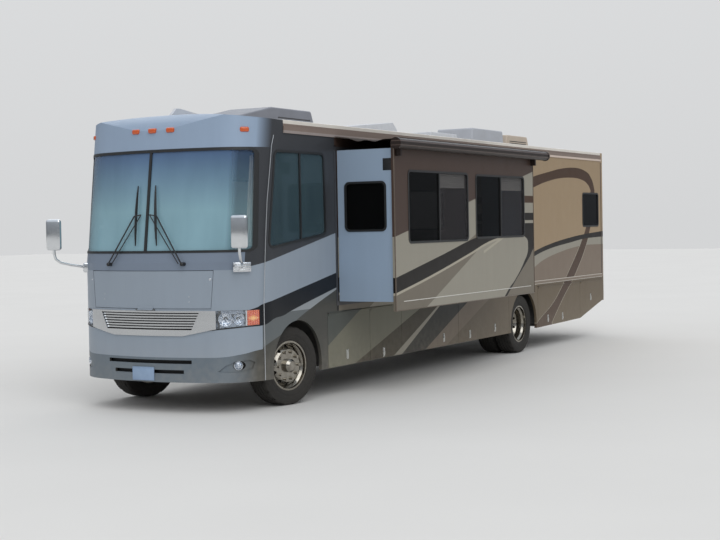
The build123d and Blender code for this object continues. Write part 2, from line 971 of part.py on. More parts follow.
# Entry door with its window and a hinge along its front edge
entry_y = -half_width
entry_axis = (entry_front_x, entry_y - hinge_out)
entry_span = (entry_low_z + entry_radius + 40, entry_high_z - entry_radius - 40)
with BuildPart() as entry_door:
    add(side_prism(door_outline, entry_y, entry_y + entry_thickness, entry_radius))
    add(
        side_prism(entry_glass_outline, entry_y, entry_y + entry_thickness, window_radius),
        mode=Mode.SUBTRACT,
    )
    leaf_high_x = entry_front_x
    box(leaf_high_x - 40, leaf_high_x, entry_y - hinge_leaf, entry_y + 1, *entry_span)
    rod((*entry_axis, entry_span[0]), (*entry_axis, entry_span[1]), hinge_barrel_radius)
    rod(
        (*entry_axis, entry_span[0]),
        (*entry_axis, entry_span[1]),
        hinge_pin_radius + running_gap,
        Mode.SUBTRACT,
    )
finish("entry_door", entry_door.part)

with BuildPart() as entry_glass:
    glass_back = entry_y + glass_inset
    add(side_prism(entry_glass_outline, glass_back, glass_back + glass_thickness, window_radius))
finish("entry_glass", entry_glass.part)

with BuildPart() as entry_hinge:
    pin_low = entry_span[0] - gap - hinge_bracket
    pin_high = entry_span[1] + gap + hinge_bracket
    rod((*entry_axis, pin_low + 4), (*entry_axis, pin_high - 4), hinge_pin_radius)
    for low_z in (pin_low, pin_high - hinge_bracket):
        box(
            entry_front_x + 1,
            entry_front_x + 40,
            entry_y - hinge_out - 6,
            entry_y,
            low_z,
            low_z + hinge_bracket,
        )

# Engine hatch in the rear, hung from its top edge
rear_hinge = (rear_x - hinge_out, hatch_high_z + gap / 2)
with BuildPart() as rear_hatch:
    add(front_prism(hatch_outline, rear_x, rear_x + hatch_thickness))
    box(
        rear_x - hinge_leaf,
        rear_x + 1,
        -rear_hinge_half,
        rear_hinge_half,
        rear_hinge[1] - 40,
        rear_hinge[1],
    )
    ends = [(rear_hinge[0], end * rear_hinge_half, rear_hinge[1]) for end in (-1, 1)]
    rod(*ends, hinge_barrel_radius)
    rod(*ends, hinge_pin_radius + running_gap, Mode.SUBTRACT)
finish("rear_hatch", rear_hatch.part)

with BuildPart() as rear_hinge_pin:
    pin_half = rear_hinge_half + gap + hinge_bracket
    ends = [(rear_hinge[0], end * (pin_half - 4), rear_hinge[1]) for end in (-1, 1)]
    rod(*ends, hinge_pin_radius)
    for low_y in (-pin_half, pin_half - hinge_bracket):
        box(
            rear_hinge[0] - 6,
            rear_x,
            low_y,
            low_y + hinge_bracket,
            rear_hinge[1] + 1,
            hatch_high_z + gap + 30,
        )

# Hood panel in the nose, which tips forward on a hinge under its lower edge
hood_hinge = (nose_x + hinge_out, (hood_low_z + lamp_band_high_z) / 2)
with BuildPart() as hood_panel:
    add(outer_form)
    add(body_form(hood_thickness), mode=Mode.SUBTRACT)
    add(front_prism(hood_outline, 900, front_reach), mode=Mode.INTERSECT)
    box(
        nose_x - 10,
        nose_x + hinge_leaf,
        -hood_hinge_half,
        hood_hinge_half,
        hood_low_z,
        hood_low_z + 30,
    )
    box(
        nose_x,
        nose_x + hinge_leaf,
        -hood_hinge_half,
        hood_hinge_half,
        hood_hinge[1],
        hood_low_z,
    )
    ends = [(hood_hinge[0], end * hood_hinge_half, hood_hinge[1]) for end in (-1, 1)]
    rod(*ends, hinge_barrel_radius)
    rod(*ends, hinge_pin_radius + running_gap, Mode.SUBTRACT)
finish("hood_panel", hood_panel.part)

with BuildPart() as hood_hinge_pin:
    pin_half = hood_hinge_half + gap + hinge_bracket
    ends = [(hood_hinge[0], end * (pin_half - 4), hood_hinge[1]) for end in (-1, 1)]
    for low_y in (-pin_half, pin_half - hinge_bracket):
        box(
            nose_x - 12,
            hood_hinge[0] + 6,
            low_y,
            low_y + hinge_bracket,
            hood_hinge[1] - 6,
            hood_hinge[1] + 4,
        )
    add(outer_form, mode=Mode.SUBTRACT)
    rod(*ends, hinge_pin_radius)

with BuildPart() as hinge_pins:
    for group in (door_hinges, entry_hinge, rear_hinge_pin, hood_hinge_pin):
        add(group.part)
finish("hinge_pins", hinge_pins.part)

# Cabin floor with the firewall in the nose, open over the entry steps
with BuildPart() as cabin_floor:
    box(rear_x, firewall_x + sheet, -half_width, half_width, floor_low_z, floor_top_z)
    box(firewall_x, firewall_x + sheet, -half_width, half_width, floor_top_z, firewall_top_z)
    add(hollow_form, mode=Mode.INTERSECT)
    box(
        entry_rear_x,
        entry_front_x,
        -half_width,
        -stair_inner_y,
        floor_low_z,
        floor_top_z,
        mode=Mode.SUBTRACT,
    )
    well_x = (rear_x + wall, engine_well_x)
    cover_half = engine_well_half + sheet
    cover_x = (rear_x + wall, engine_well_x + sheet)
    box(*cover_x, -cover_half, cover_half, floor_top_z, engine_cover_z + sheet)
    box(
        *well_x,
        -engine_well_half,
        engine_well_half,
        floor_low_z,
        engine_cover_z,
        mode=Mode.SUBTRACT,
    )
finish("cabin_floor", cabin_floor.part)

# Storage bays either side of the frame, and the stairwell inside the entry door
with BuildPart() as basement:
    for name, (side, front_x, rear_door_x, front_low_z, rear_low_z) in bay_doors.items():
        pan = [
            (rear_door_x, rear_low_z + pan_rise),
            (front_x, front_low_z + pan_rise),
            (front_x, front_low_z + pan_rise + sheet),
            (rear_door_x, rear_low_z + pan_rise + sheet),
        ]
        span = sorted((side * bay_inner_y, side * bay_outer_y))
        back = sorted((side * bay_inner_y, side * (bay_inner_y + sheet)))
        add(side_prism(pan, *span))
        low_z = max(front_low_z, rear_low_z) + pan_rise
        box(rear_door_x, front_x, *back, low_z, floor_low_z)
        for wall_x in (rear_door_x, front_x - sheet):
            box(wall_x, wall_x + sheet, *span, low_z, floor_low_z)
    stair = (-bay_outer_y, -bay_inner_y)
    for wall_x in (entry_rear_x - sheet, entry_front_x):
        box(wall_x, wall_x + sheet, *stair, entry_low_z - sheet, floor_low_z)
    stair_x = (entry_rear_x, entry_front_x)
    step_z = (entry_low_z + floor_top_z) / 2
    box(*stair_x, -bay_outer_y, -stair_middle_y, entry_low_z - sheet, entry_low_z)
    box(*stair_x, -stair_middle_y, -stair_middle_y + sheet, entry_low_z - sheet, step_z)
    box(*stair_x, -stair_middle_y + sheet, -stair_inner_y, step_z - sheet, step_z)
    box(*stair_x, -stair_inner_y, -stair_inner_y + sheet, step_z - sheet, floor_low_z)
finish("basement", basement.part)

# Chassis: two rails with cross-members, front beam with tow eyes, rear hitch receiver
with BuildPart() as chassis_frame:
    rail_low_z = rail_top_z - rail_depth
    for side in (-1, 1):
        inner_y = side * (rail_y - rail_width / 2)
        outer_y = side * (rail_y + rail_width / 2)
        box(frame_rear_x, frame_front_x, *sorted((inner_y, outer_y)), rail_low_z, rail_top_z)
        drop_y = sorted((side * (rail_y - rail_width / 2), side * (rail_y + rail_width / 2)))
        box(front_beam_x, frame_front_x, *drop_y, front_beam_z[1], rail_low_z)
        box(frame_rear_x, hitch_beam_x, *drop_y, hitch_z + hitch_outer / 2, rail_low_z)
        for pad_x in floor_pads:
            box(pad_x - 60, pad_x + 60, *drop_y, rail_top_z, floor_low_z)
    for member_x in cross_members:
        box(
            member_x - member_width / 2,
            member_x + member_width / 2,
            -rail_y + rail_width / 2,
            rail_y - rail_width / 2,
            rail_low_z + 60,
            rail_top_z - 40,
        )
    box(front_beam_x, frame_front_x, -front_beam_half, front_beam_half, *front_beam_z)
    tow_low_z = front_beam_z[0] - tow_plate
    tow_half = tow_eye_radius + tow_eye_rim
    for side in (-1, 1):
        eye_y = side * rail_y
        ends = [(tow_eye_x, eye_y, tow_low_z), (tow_eye_x, eye_y, front_beam_z[0])]
        box(front_beam_x, tow_eye_x, eye_y - tow_half, eye_y + tow_half, *ends[0][2:], ends[1][2])
        rod(*ends, tow_half)
        rod(*ends, tow_eye_radius, Mode.SUBTRACT)
    cross_low = hitch_z - hitch_outer / 2
    cross_high = hitch_z + hitch_outer / 2
    cross_half = rail_y + rail_width / 2
    box(frame_rear_x, hitch_beam_x, -cross_half, cross_half, cross_low, cross_high)
    box(hitch_mouth_x, frame_rear_x, -hitch_outer / 2, hitch_outer / 2, cross_low, cross_high)
    box(
        hitch_mouth_x,
        hitch_mouth_x + hitch_depth,
        -hitch_inner / 2,
        hitch_inner / 2,
        hitch_z - hitch_inner / 2,
        hitch_z + hitch_inner / 2,
        mode=Mode.SUBTRACT,
    )
    pin_x = hitch_mouth_x + hitch_pin_back
    rod(
        (pin_x, -hitch_outer / 2, hitch_z),
        (pin_x, hitch_outer / 2, hitch_z),
        hitch_pin_radius,
        Mode.SUBTRACT,
    )
finish("chassis_frame", chassis_frame.part)

# Rear engine with its gearbox, carried between the rails
with BuildPart() as engine_block:
    box(engine_rear_x, engine_front_x, -engine_half, engine_half, engine_low_z, engine_high_z)
    box(
        engine_front_x,
        gearbox_front_x,
        -gearbox_half,
        gearbox_half,
        gearbox_low_z,
        gearbox_high_z,
    )
    for mount_x in (engine_rear_x + 200, engine_front_x - 200):
        for side in (-1, 1):
            span = sorted((side * engine_half, side * (rail_y - rail_width / 2)))
            box(mount_x - 40, mount_x + 40, *span, rail_low_z + 20, rail_low_z + 120)
finish("engine_block", engine_block.part)


def leaf_spring(axle_x, pad_low_z):
    """Both springs of an axle with pads and hangers, for use inside the axle's block."""
    for side in (-1, 1):
        span = (side * rail_y - rail_width / 2, side * rail_y + rail_width / 2)
        box(axle_x - 70, axle_x + 70, *span, pad_low_z, pad_low_z + spring_pad)
        spring_z = pad_low_z + spring_pad
        box(
            axle_x - spring_half,
            axle_x + spring_half,
            *span,
            spring_z,
            spring_z + spring_thickness,
        )
        for end_x in (axle_x - spring_half, axle_x + spring_half - hanger_width):
            box(end_x, end_x + hanger_width, *span, spring_z + spring_thickness, rail_low_z)


# Front axle: dropped beam with an eye for each kingpin
with BuildPart() as front_axle:
    beam = [
        (-kingpin_y, eye_low_z),
        (-beam_shoulder_y - 60, eye_low_z),
        (-beam_shoulder_y + 20, beam_low_z),
        (beam_shoulder_y - 20, beam_low_z),
        (beam_shoulder_y + 60, eye_low_z),
        (kingpin_y, eye_low_z),
        (kingpin_y, eye_high_z),
        (beam_shoulder_y + 60, eye_high_z),
        (beam_shoulder_y - 40, beam_high_z),
        (-beam_shoulder_y + 40, beam_high_z),
        (-beam_shoulder_y - 60, eye_high_z),
        (-kingpin_y, eye_high_z),
    ]
    add(front_prism(beam, -beam_half, beam_half))
    for side in (-1, 1):
        ends = [(0, side * kingpin_y, eye_low_z), (0, side * kingpin_y, eye_high_z)]
        rod(*ends, eye_radius)
        rod(*ends, kingpin_radius + running_gap, Mode.SUBTRACT)
    leaf_spring(0, beam_high_z)
finish("front_axle", front_axle.part)


def turned(part, side):
    """The front wheel parts as parked, turned about their kingpin."""
    return part.rotate(Axis((0, side * kingpin_y, 0), (0, 0, 1)), rest_turn)


def knuckle(side, hole_radius):
    """Kingpin, fork, brake plate, spindle and steering arm of one front wheel, straight."""
    pin_y = side * kingpin_y
    upright = sorted((pin_y + side * upright_in, pin_y + side * upright_out))
    ear = sorted((pin_y, pin_y + side * upright_out))
    arm_low = arm_z - arm_thickness / 2
    arm_high = arm_z + arm_thickness / 2
    with BuildPart() as piece:
        for low_z in (eye_low_z - gap - ear_height, eye_high_z + gap):
            rod((0, pin_y, low_z), (0, pin_y, low_z + ear_height), ear_radius)
            box(-ear_half, ear_half, *ear, low_z, low_z + ear_height)
        low_z = eye_low_z - gap - ear_height
        high_z = eye_high_z + gap + ear_height
        box(-ear_half, ear_half, *upright, low_z, high_z)
        rod((0, pin_y, low_z), (0, pin_y, high_z), kingpin_radius)
        out_y = pin_y + side * upright_out
        rod((0, out_y, axle_z), (0, side * brake_plate_y, axle_z), brake_plate_boss)
        plate_y = side * (brake_plate_y - brake_plate_thickness)
        rod((0, plate_y, axle_z), (0, side * brake_plate_y, axle_z), brake_plate_radius)
        rod((0, side * brake_plate_y, axle_z), (0, side * spindle_end_y, axle_z), spindle_radius)
        box(-arm_length, 0, pin_y - arm_half, pin_y + arm_half, arm_low, arm_high)
        rod((-arm_length, pin_y, arm_low), (-arm_length, pin_y, arm_high), arm_boss_radius)
        rod(
            (-arm_length, pin_y, arm_low),
            (-arm_length, pin_y, arm_high),
            hole_radius,
            Mode.SUBTRACT,
        )
    return turned(piece.part, side)


finish("knuckle_left", knuckle(1, tie_pin_radius + running_gap))
finish("knuckle_right", knuckle(-1, tie_pin_radius + open_pivot_gap))

# Tie rod: it hangs from the left arm, and its right pin stands free in the right arm's hole
swing = math.radians(rest_turn)
arm_end_x = -arm_length * math.cos(swing)
arm_shift_y = -arm_length * math.sin(swing)
with BuildPart() as tie_rod:
    boss_high = arm_z - arm_thickness / 2 - gap
    boss_low = boss_high - tie_boss_height
    for side in (-1, 1):
        end_y = side * kingpin_y + arm_shift_y
        rod((arm_end_x, end_y, boss_low), (arm_end_x, end_y, boss_high), tie_boss_radius)
        pin_top = arm_z + arm_thickness / 2
        rod((arm_end_x, end_y, boss_high), (arm_end_x, end_y, pin_top), tie_pin_radius)
    rod_z = (boss_low + boss_high) / 2
    rod(
        (arm_end_x, arm_shift_y - kingpin_y, rod_z),
        (arm_end_x, arm_shift_y + kingpin_y, rod_z),
        tie_rod_radius,
    )
finish("tie_rod", tie_rod.part)

# Drive axle: housing, final drive, spindles, brake plates, springs and propeller shaft
with BuildPart() as rear_axle:
    axle_x = -wheelbase
    rod((axle_x, -hub_rear_in_y + 20, axle_z), (axle_x, hub_rear_in_y - 20, axle_z), housing_radius)
    rod((axle_x, -final_drive_half, axle_z), (axle_x, final_drive_half, axle_z), final_drive_radius)
    rod((axle_x, 0, axle_z), (axle_x - final_drive_radius - 120, 0, axle_z), housing_radius)
    rod((axle_x, 0, axle_z), (gearbox_front_x, 0, shaft_end_z), shaft_radius)
    for side in (-1, 1):
        start = (axle_x, side * (hub_rear_in_y - 20), axle_z)
        rod(start, (axle_x, side * rear_spindle_end_y, axle_z), rear_spindle_radius)
        plate_y = side * (hub_rear_in_y - gap)
        plate_back_y = side * (hub_rear_in_y - gap - brake_plate_thickness)
        rod((axle_x, plate_back_y, axle_z), (axle_x, plate_y, axle_z), brake_plate_radius)
    leaf_spring(axle_x, axle_z + housing_radius - 8)
    box(gearbox_front_x - 100, gearbox_front_x, -100, 100, 400, 800, mode=Mode.SUBTRACT)
finish("rear_axle", rear_axle.part)


def wheel_plane(wheel_x, side):
    """Sketch plane with its x outwards along the axle and its y up from the axle's centre."""
    return Plane(origin=(wheel_x, 0, axle_z), x_dir=(0, side, 0), z_dir=(side, 0, 0))


def axle_line(wheel_x):
    return Axis((wheel_x, 0, axle_z), (0, 1, 0))


def tyres(wheel_x, side, centres):
    """Tyres that stand between the flanges of their rims."""
    seat_edge = rim_half - flange_width
    bead_radius = flange_radius + 2
    shoulder = tyre_half - 8
    shoulder_radius = tyre_radius - 28
    tread = tyre_half - 22
    with BuildPart() as piece:
        for centre in centres:
            with BuildSketch(wheel_plane(wheel_x, side)):
                with BuildLine():
                    Line((centre - seat_edge, seat_radius), (centre + seat_edge, seat_radius))
                    Line((centre + seat_edge, seat_radius), (centre + seat_edge, bead_radius))
                    ThreePointArc(
                        (centre + seat_edge, bead_radius),
                        (centre + tyre_half, sidewall_radius),
                        (centre + shoulder, shoulder_radius),
                    )
                    Line((centre + shoulder, shoulder_radius), (centre + tread, tyre_radius))
                    Line((centre + tread, tyre_radius), (centre - tread, tyre_radius))
                    Line((centre - tread, tyre_radius), (centre - shoulder, shoulder_radius))
                    ThreePointArc(
                        (centre - shoulder, shoulder_radius),
                        (centre - tyre_half, sidewall_radius),
                        (centre - seat_edge, bead_radius),
                    )
                    Line((centre - seat_edge, bead_radius), (centre - seat_edge, seat_radius))
                make_face()
            revolve(axis=axle_line(wheel_x))
    return piece.part


def barrel_outline(centre):
    """Half section of a rim: flanges, bead seats and the well between them."""
    well = seat_radius - well_depth
    outer = [
        (rim_half, flange_radius),
        (rim_half - flange_width, flange_radius),
        (rim_half - flange_width, seat_radius),
        (bead_half, seat_radius),
        (well_half, well),
        (-well_half, well),
        (-bead_half, seat_radius),
        (-rim_half + flange_width, seat_radius),
        (-rim_half + flange_width, flange_radius),
        (-rim_half, flange_radius),
        (-rim_half, seat_radius - rim_thickness),
        (-bead_half - 6, seat_radius - rim_thickness),
        (-well_half - 6, well - rim_thickness),
        (well_half + 6, well - rim_thickness),
        (bead_half + 6, seat_radius - rim_thickness),
        (rim_half, seat_radius - rim_thickness),
    ]
    return [(centre + offset_y, radius) for offset_y, radius in outer]


def spun(wheel_x, side, outline):
    """A ring from a closed outline of (distance along the axle, radius) points."""
    with BuildPart() as ring:
        with BuildSketch(wheel_plane(wheel_x, side)):
            with BuildLine():
                Polyline(outline, close=True)
            make_face()
        revolve(axis=axle_line(wheel_x))
    return ring.part


def studs(wheel_x, side, circle, radius, turn, low_y, high_y):
    """A ring of round bars along the axle: nut covers, or the cutters of hand holes."""
    face = Plane(origin=(wheel_x, side * low_y, axle_z), x_dir=(1, 0, 0), z_dir=(0, side, 0))
    with BuildPart() as ring:
        with BuildSketch(face):
            with PolarLocations(circle, lug_count, start_angle=turn):
                Circle(radius)
        extrude(amount=high_y - low_y)
    return ring.part


def nut_covers(wheel_x, side, base_y):
    return studs(wheel_x, side, lug_circle, lug_radius, 0, base_y - 2, base_y + lug_height)


def hand_holes(wheel_x, side, low_y, high_y):
    half_pitch = 180 / lug_count
    return studs(wheel_x, side, hand_hole_circle, hand_hole_radius, half_pitch, low_y, high_y)


def front_rim(side):
    """Steered wheel: convex disc with nut covers, hub with its cap, brake drum."""
    well_inner = seat_radius - well_depth - rim_thickness
    disc = [
        (front_disc_y, hub_radius - 4),
        (front_disc_y, disc_flat),
        (front_disc_y - disc_drop, well_inner + 4),
        (front_disc_y - disc_drop - disc_thickness, well_inner + 4),
        (front_disc_y - disc_thickness, disc_flat - 4),
        (front_disc_y - disc_thickness, hub_radius - 4),
    ]
    bore = spindle_radius + running_gap
    hub = [
        (hub_front_in_y, bore),
        (hub_front_in_y, hub_radius),
        (hub_cap_y, hub_radius),
        (hub_cap_end_y, hub_radius - 26),
        (hub_cap_end_y, 0),
        (spindle_end_y + 6, 0),
        (spindle_end_y + 6, bore),
    ]
    drum = [
        (hub_front_in_y, drum_radius - drum_wall),
        (hub_front_in_y, drum_radius),
        (drum_out_y, drum_radius),
        (drum_out_y, hub_radius - 4),
        (drum_out_y - drum_wall, hub_radius - 4),
        (drum_out_y - drum_wall, drum_radius - drum_wall),
    ]
    with BuildPart() as piece:
        add(spun(0, side, barrel_outline(wheel_centre_y)))
        add(spun(0, side, disc))
        holes = hand_holes(0, side, front_disc_y - disc_drop - 40, front_disc_y + 10)
        add(holes, mode=Mode.SUBTRACT)
        add(spun(0, side, hub))
        add(spun(0, side, drum))
        add(nut_covers(0, side, front_disc_y))
    return turned(piece.part, side)


def rear_rims(side):
    """Twin wheel: two rims back to back on one hub, the outer disc set deep."""
    well_inner = seat_radius - well_depth - rim_thickness
    discs = [
        (twin_plane_y + disc_thickness, hub_rear_radius - 4),
        (twin_plane_y + disc_thickness, disc_flat),
        (twin_plane_y + rear_disc_drop, well_inner + 4),
        (twin_plane_y + rear_disc_drop - 2 * disc_thickness, well_inner + 4),
        (twin_plane_y, disc_flat + 8),
        (twin_plane_y - rear_disc_drop + 2 * disc_thickness, well_inner + 4),
        (twin_plane_y - rear_disc_drop, well_inner + 4),
        (twin_plane_y - disc_thickness, disc_flat),
        (twin_plane_y - disc_thickness, hub_rear_radius - 4),
    ]
    bore = rear_spindle_radius + running_gap
    hub = [
        (hub_rear_in_y, bore),
        (hub_rear_in_y, hub_rear_radius),
        (hub_rear_cap_y, hub_rear_radius),
        (hub_rear_end_y, hub_rear_radius - 26),
        (hub_rear_end_y, 0),
        (rear_spindle_end_y + 6, 0),
        (rear_spindle_end_y + 6, bore),
    ]
    drum_end = twin_plane_y - disc_thickness
    drum = [
        (hub_rear_in_y, drum_radius - drum_wall),
        (hub_rear_in_y, drum_radius),
        (drum_end, drum_radius),
        (drum_end, hub_rear_radius - 4),
        (drum_end - drum_wall, hub_rear_radius - 4),
        (drum_end - drum_wall, drum_radius - drum_wall),
    ]
    with BuildPart() as piece:
        for centre in (wheel_centre_y, inner_centre_y):
            add(spun(-wheelbase, side, barrel_outline(centre)))
        add(spun(-wheelbase, side, discs))
        reach_y = rear_disc_drop + 10
        holes = hand_holes(-wheelbase, side, twin_plane_y - reach_y, twin_plane_y + reach_y)
        add(holes, mode=Mode.SUBTRACT)
        add(spun(-wheelbase, side, hub))
        add(spun(-wheelbase, side, drum))
        add(nut_covers(-wheelbase, side, twin_plane_y + disc_thickness))
    return piece.part


for side, word in ((1, "left"), (-1, "right")):
    finish(f"tyre_front_{word}", turned(tyres(0, side, [wheel_centre_y]), side))
    finish(f"rim_front_{word}", front_rim(side))
    finish(f"tyres_rear_{word}", tyres(-wheelbase, side, [wheel_centre_y, inner_centre_y]))
    finish(f"rims_rear_{word}", rear_rims(side))

# Grille: a chrome mask with louvres across its opening
band_y = lamp_band_outline[1:5] + [(grille_half, lamp_band_high_z), (-grille_half, lamp_band_high_z)]
with BuildPart() as louvres:
    low_z = grille_opening[0][1]
    pitch = (grille_opening[2][1] - low_z) / (louvre_count + 0.5)
    for row in range(louvre_count):
        bottom = low_z + (row + 0.5) * pitch
        span = rectangle(-grille_half, grille_half, bottom, bottom + louvre_height)
        add(front_prism(span, 900, front_reach))
    add(front_prism(grown(grille_opening, 1), 900, front_reach), mode=Mode.INTERSECT)
    add(louvre_skin, mode=Mode.INTERSECT)
with BuildPart() as grille:
    add(chrome_skin)
    add(front_prism(band_y, 900, front_reach), mode=Mode.INTERSECT)
    add(front_prism(grille_opening, 900, front_reach), mode=Mode.SUBTRACT)
    add(louvres.part)
finish("grille", grille.part)

# Headlamps either side of the grille, and fog lamps in the lower bumper
with BuildPart() as front_lamps:
    for side in (-1, 1):
        lamp = [
            (side * grille_half, lamp_band_outline[4][1]),
            (side * lamp_band_outline[5][0], lamp_band_outline[5][1]),
            (side * lamp_band_outline[5][0], lamp_band_high_z),
            (side * grille_half, lamp_band_high_z),
        ]
        add(front_prism(lamp, lamp_back_x, front_reach))
        rod((750, side * fog_y, fog_z), (1150, side * fog_y, fog_z), fog_radius)
    add(lamp_skin, mode=Mode.INTERSECT)
finish("front_lamps", front_lamps.part)

# Envelope of the closed body, which trims what stands on its skin
with BuildPart() as envelope:
    add(outer_form)
    add(crown_form.part, mode=Mode.INTERSECT)

with BuildPart() as marker_lamps:
    for lamp_x, lamp_y, lamp_z in marker_places:
        box(
            lamp_x - 60,
            lamp_x + marker_depth,
            lamp_y - marker_width / 2,
            lamp_y + marker_width / 2,
            lamp_z - marker_height / 2,
            lamp_z + marker_height / 2,
        )
    add(envelope.part, mode=Mode.SUBTRACT)
finish("marker_lamps", marker_lamps.part)

# Wipers: pivots under the windshield, arms towards the middle, upright blades
with BuildPart() as wipers:
    for side in (-1, 1):
        pivot = (wiper_pivot[0], side * wiper_pivot[1], wiper_pivot[2])
        outer_end = (pivot[0] + wiper_stand, pivot[1], pivot[2])
        blade_y = side * wiper_blade_y
        joint_z = wiper_joint_z
        rod((pivot[0] - 40, pivot[1], pivot[2]), outer_end, 18)
        joint = (nose_x - (joint_z - lean_z) * lean_slope + blade_stand + 8, blade_y, joint_z)
        rod((outer_end[0] - 10, outer_end[1], outer_end[2]), joint, wiper_arm_radius)
        ends = [
            (nose_x - (end_z - lean_z) * lean_slope + blade_stand, blade_y, end_z)
            for end_z in wiper_blade_z
        ]
        rod(*ends, wiper_blade_radius)
    add(envelope.part, mode=Mode.SUBTRACT)
finish("wipers", wipers.part)


def mirror_block(centre, turn):
    """Rounded block that carries a mirror arm, turned to lie along the corner of the nose."""
    with BuildPart(Plane(Location(centre, (0, 0, turn)))) as block:
        Box(*mirror_foot_size)
        fillet(block.edges(), mirror_foot_rounding)
    return block.part


# Mirrors: foot on the cap, arm and head, on both sides
with BuildPart() as mirrors:
    for side in (-1, 1):
        span = sorted((side * mirror_y[0], side * mirror_y[1]))
        box(*mirror_x, *span, *mirror_z)
    fillet(mirrors.edges().filter_by(Axis.X), mirror_rounding)
    fillet(mirrors.faces().filter_by(Axis.X).edges(), mirror_edge_rounding)
    for side in (-1, 1):
        foot = (mirror_foot[0], side * mirror_foot[1], mirror_foot[2])
        elbow = (mirror_elbow[0], side * mirror_elbow[1], mirror_elbow[2])
        top = ((mirror_x[0] + mirror_x[1]) / 2, side * mirror_elbow[1], mirror_z[0] + 20)
        rod(foot, elbow, mirror_arm_radius)
        rod(elbow, top, mirror_arm_radius)
        with Locations(elbow):
            Sphere(mirror_arm_radius)
        add(mirror_block(foot, side * mirror_foot_turn))
    add(envelope.part, mode=Mode.SUBTRACT)
finish("mirrors", mirrors.part)

# Dashboard with the steering column and wheel, and the two cab seats
with BuildPart() as dashboard:
    add(side_prism(dash_side, -dash_half, dash_half))
    add(body_form(wall + 4), mode=Mode.INTERSECT)
    column = Vector(wheel_place[0] - column_foot[0], 0, wheel_place[2] - column_foot[2])
    rod(column_foot, wheel_place, 28)
    with Locations(Plane(origin=wheel_place, z_dir=column).location):
        Torus(steering_radius, 15)
        for angle in (90, 210, 330):
            with Locations(Location((0, 0, -6), (0, 0, angle))):
                Box(steering_radius, 36, 12, align=(Align.MIN, Align.CENTER, Align.CENTER))
finish("dashboard", dashboard.part)

with BuildPart() as cab_seats:
    for side in (-1, 1):
        seat_low = side * seat_y - seat_half
        seat_high = side * seat_y + seat_half
        add(side_prism(seat_back_side, seat_low, seat_high))
        add(side_prism(seat_base_side, seat_low, seat_high))
    fillet(cab_seats.edges().filter_by(Axis.Y), 30)
    for side in (-1, 1):
        box(-160, 160, side * seat_y - 160, side * seat_y + 160, floor_top_z, seat_base_side[0][1])
finish("cab_seats", cab_seats.part)


def roof_item(low_y, high_y, rounding, outline):
    """A moulded cover on the roof with its corners and both side edges rounded."""
    with BuildPart() as cover:
        add(side_prism(outline, low_y, high_y, rounding))
        side_edges = cover.faces().filter_by(Axis.Y).edges()
        fillet(side_edges, rounding / 2)
    return cover.part


# Roof: air units, vent lid, shroud and aerial, cut off along the roof's skin
for name, items in roof_items.items():
    with BuildPart() as piece:
        for low_y, high_y, rounding, outline in items:
            add(roof_item(low_y, high_y, rounding, outline))
        add(envelope.part, mode=Mode.SUBTRACT)
    finish(name, piece.part)

# Patio awning rolled up along the right side, with its two arms
with BuildPart() as patio_awning:
    roll_y = -half_width - awning_out
    rod((awning_rear_x, roll_y, awning_z), (awning_front_x, roll_y, awning_z), awning_radius)
    for arm_x in (awning_rear_x + 20, awning_front_x - 20 - awning_arm):
        box(
            arm_x,
            arm_x + awning_arm,
            roll_y,
            -half_width,
            awning_z - awning_radius - 10,
            awning_z,
        )
        box(arm_x, arm_x + awning_arm, -half_width - 28, -half_width, awning_foot_z, awning_z - 20)
finish("patio_awning", patio_awning.part)

# Rear lamps
with BuildPart() as rear_lamps:
    for side in (-1, 1):
        low_y = side * rear_lamp_y - rear_lamp_width / 2
        box(rear_x - rear_lamp_proud, rear_x, low_y, low_y + rear_lamp_width, *rear_lamp_z)
    fillet(rear_lamps.edges().filter_by(Axis.X), 40)
finish("rear_lamps", rear_lamps.part)

# Everything moves so that the origin is under the middle of the overall box
boxes = [part.bounding_box() for part in nodes.values()]
low = [min(tuple(box_of.min)[axis] for box_of in boxes) for axis in range(3)]
high = [max(tuple(box_of.max)[axis] for box_of in boxes) for axis in range(3)]
shift = Vector(-(low[0] + high[0]) / 2, -(low[1] + high[1]) / 2, -low[2])
for name, part in nodes.items():
    placed = part.translate(shift, transform=True)
    placed.label = name
    export_step(placed, f"parts/{name}.step")
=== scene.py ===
import math
from contextlib import contextmanager

import bpy
from mathutils import Matrix, Vector


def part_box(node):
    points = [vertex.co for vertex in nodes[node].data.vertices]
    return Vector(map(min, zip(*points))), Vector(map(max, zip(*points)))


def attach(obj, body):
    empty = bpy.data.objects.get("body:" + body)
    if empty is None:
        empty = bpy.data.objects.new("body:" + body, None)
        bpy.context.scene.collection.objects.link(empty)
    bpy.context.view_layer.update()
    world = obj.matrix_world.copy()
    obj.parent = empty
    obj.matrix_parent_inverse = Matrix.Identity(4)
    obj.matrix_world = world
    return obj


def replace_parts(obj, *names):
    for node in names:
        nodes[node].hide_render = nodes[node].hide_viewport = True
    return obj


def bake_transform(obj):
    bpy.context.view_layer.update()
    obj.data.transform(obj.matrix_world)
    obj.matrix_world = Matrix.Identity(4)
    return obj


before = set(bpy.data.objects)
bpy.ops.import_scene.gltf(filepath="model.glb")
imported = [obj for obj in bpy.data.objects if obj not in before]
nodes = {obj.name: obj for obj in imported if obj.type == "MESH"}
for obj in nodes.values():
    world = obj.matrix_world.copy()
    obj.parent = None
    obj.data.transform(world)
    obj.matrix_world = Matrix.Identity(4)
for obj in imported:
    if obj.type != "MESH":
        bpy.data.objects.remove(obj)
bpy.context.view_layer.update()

bpy.ops.object.select_all(action="DESELECT")

# Where the motorhome stands. Its own axes start under the middle of the front axle:
# x runs forward, y to the driver's left and z up from the ground, all in metres.
axle_low, axle_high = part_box("front_axle")
roof_low, roof_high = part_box("roof")
front_axle_x = (axle_low.x + axle_high.x) / 2
middle_y = (roof_low.y + roof_high.y) / 2


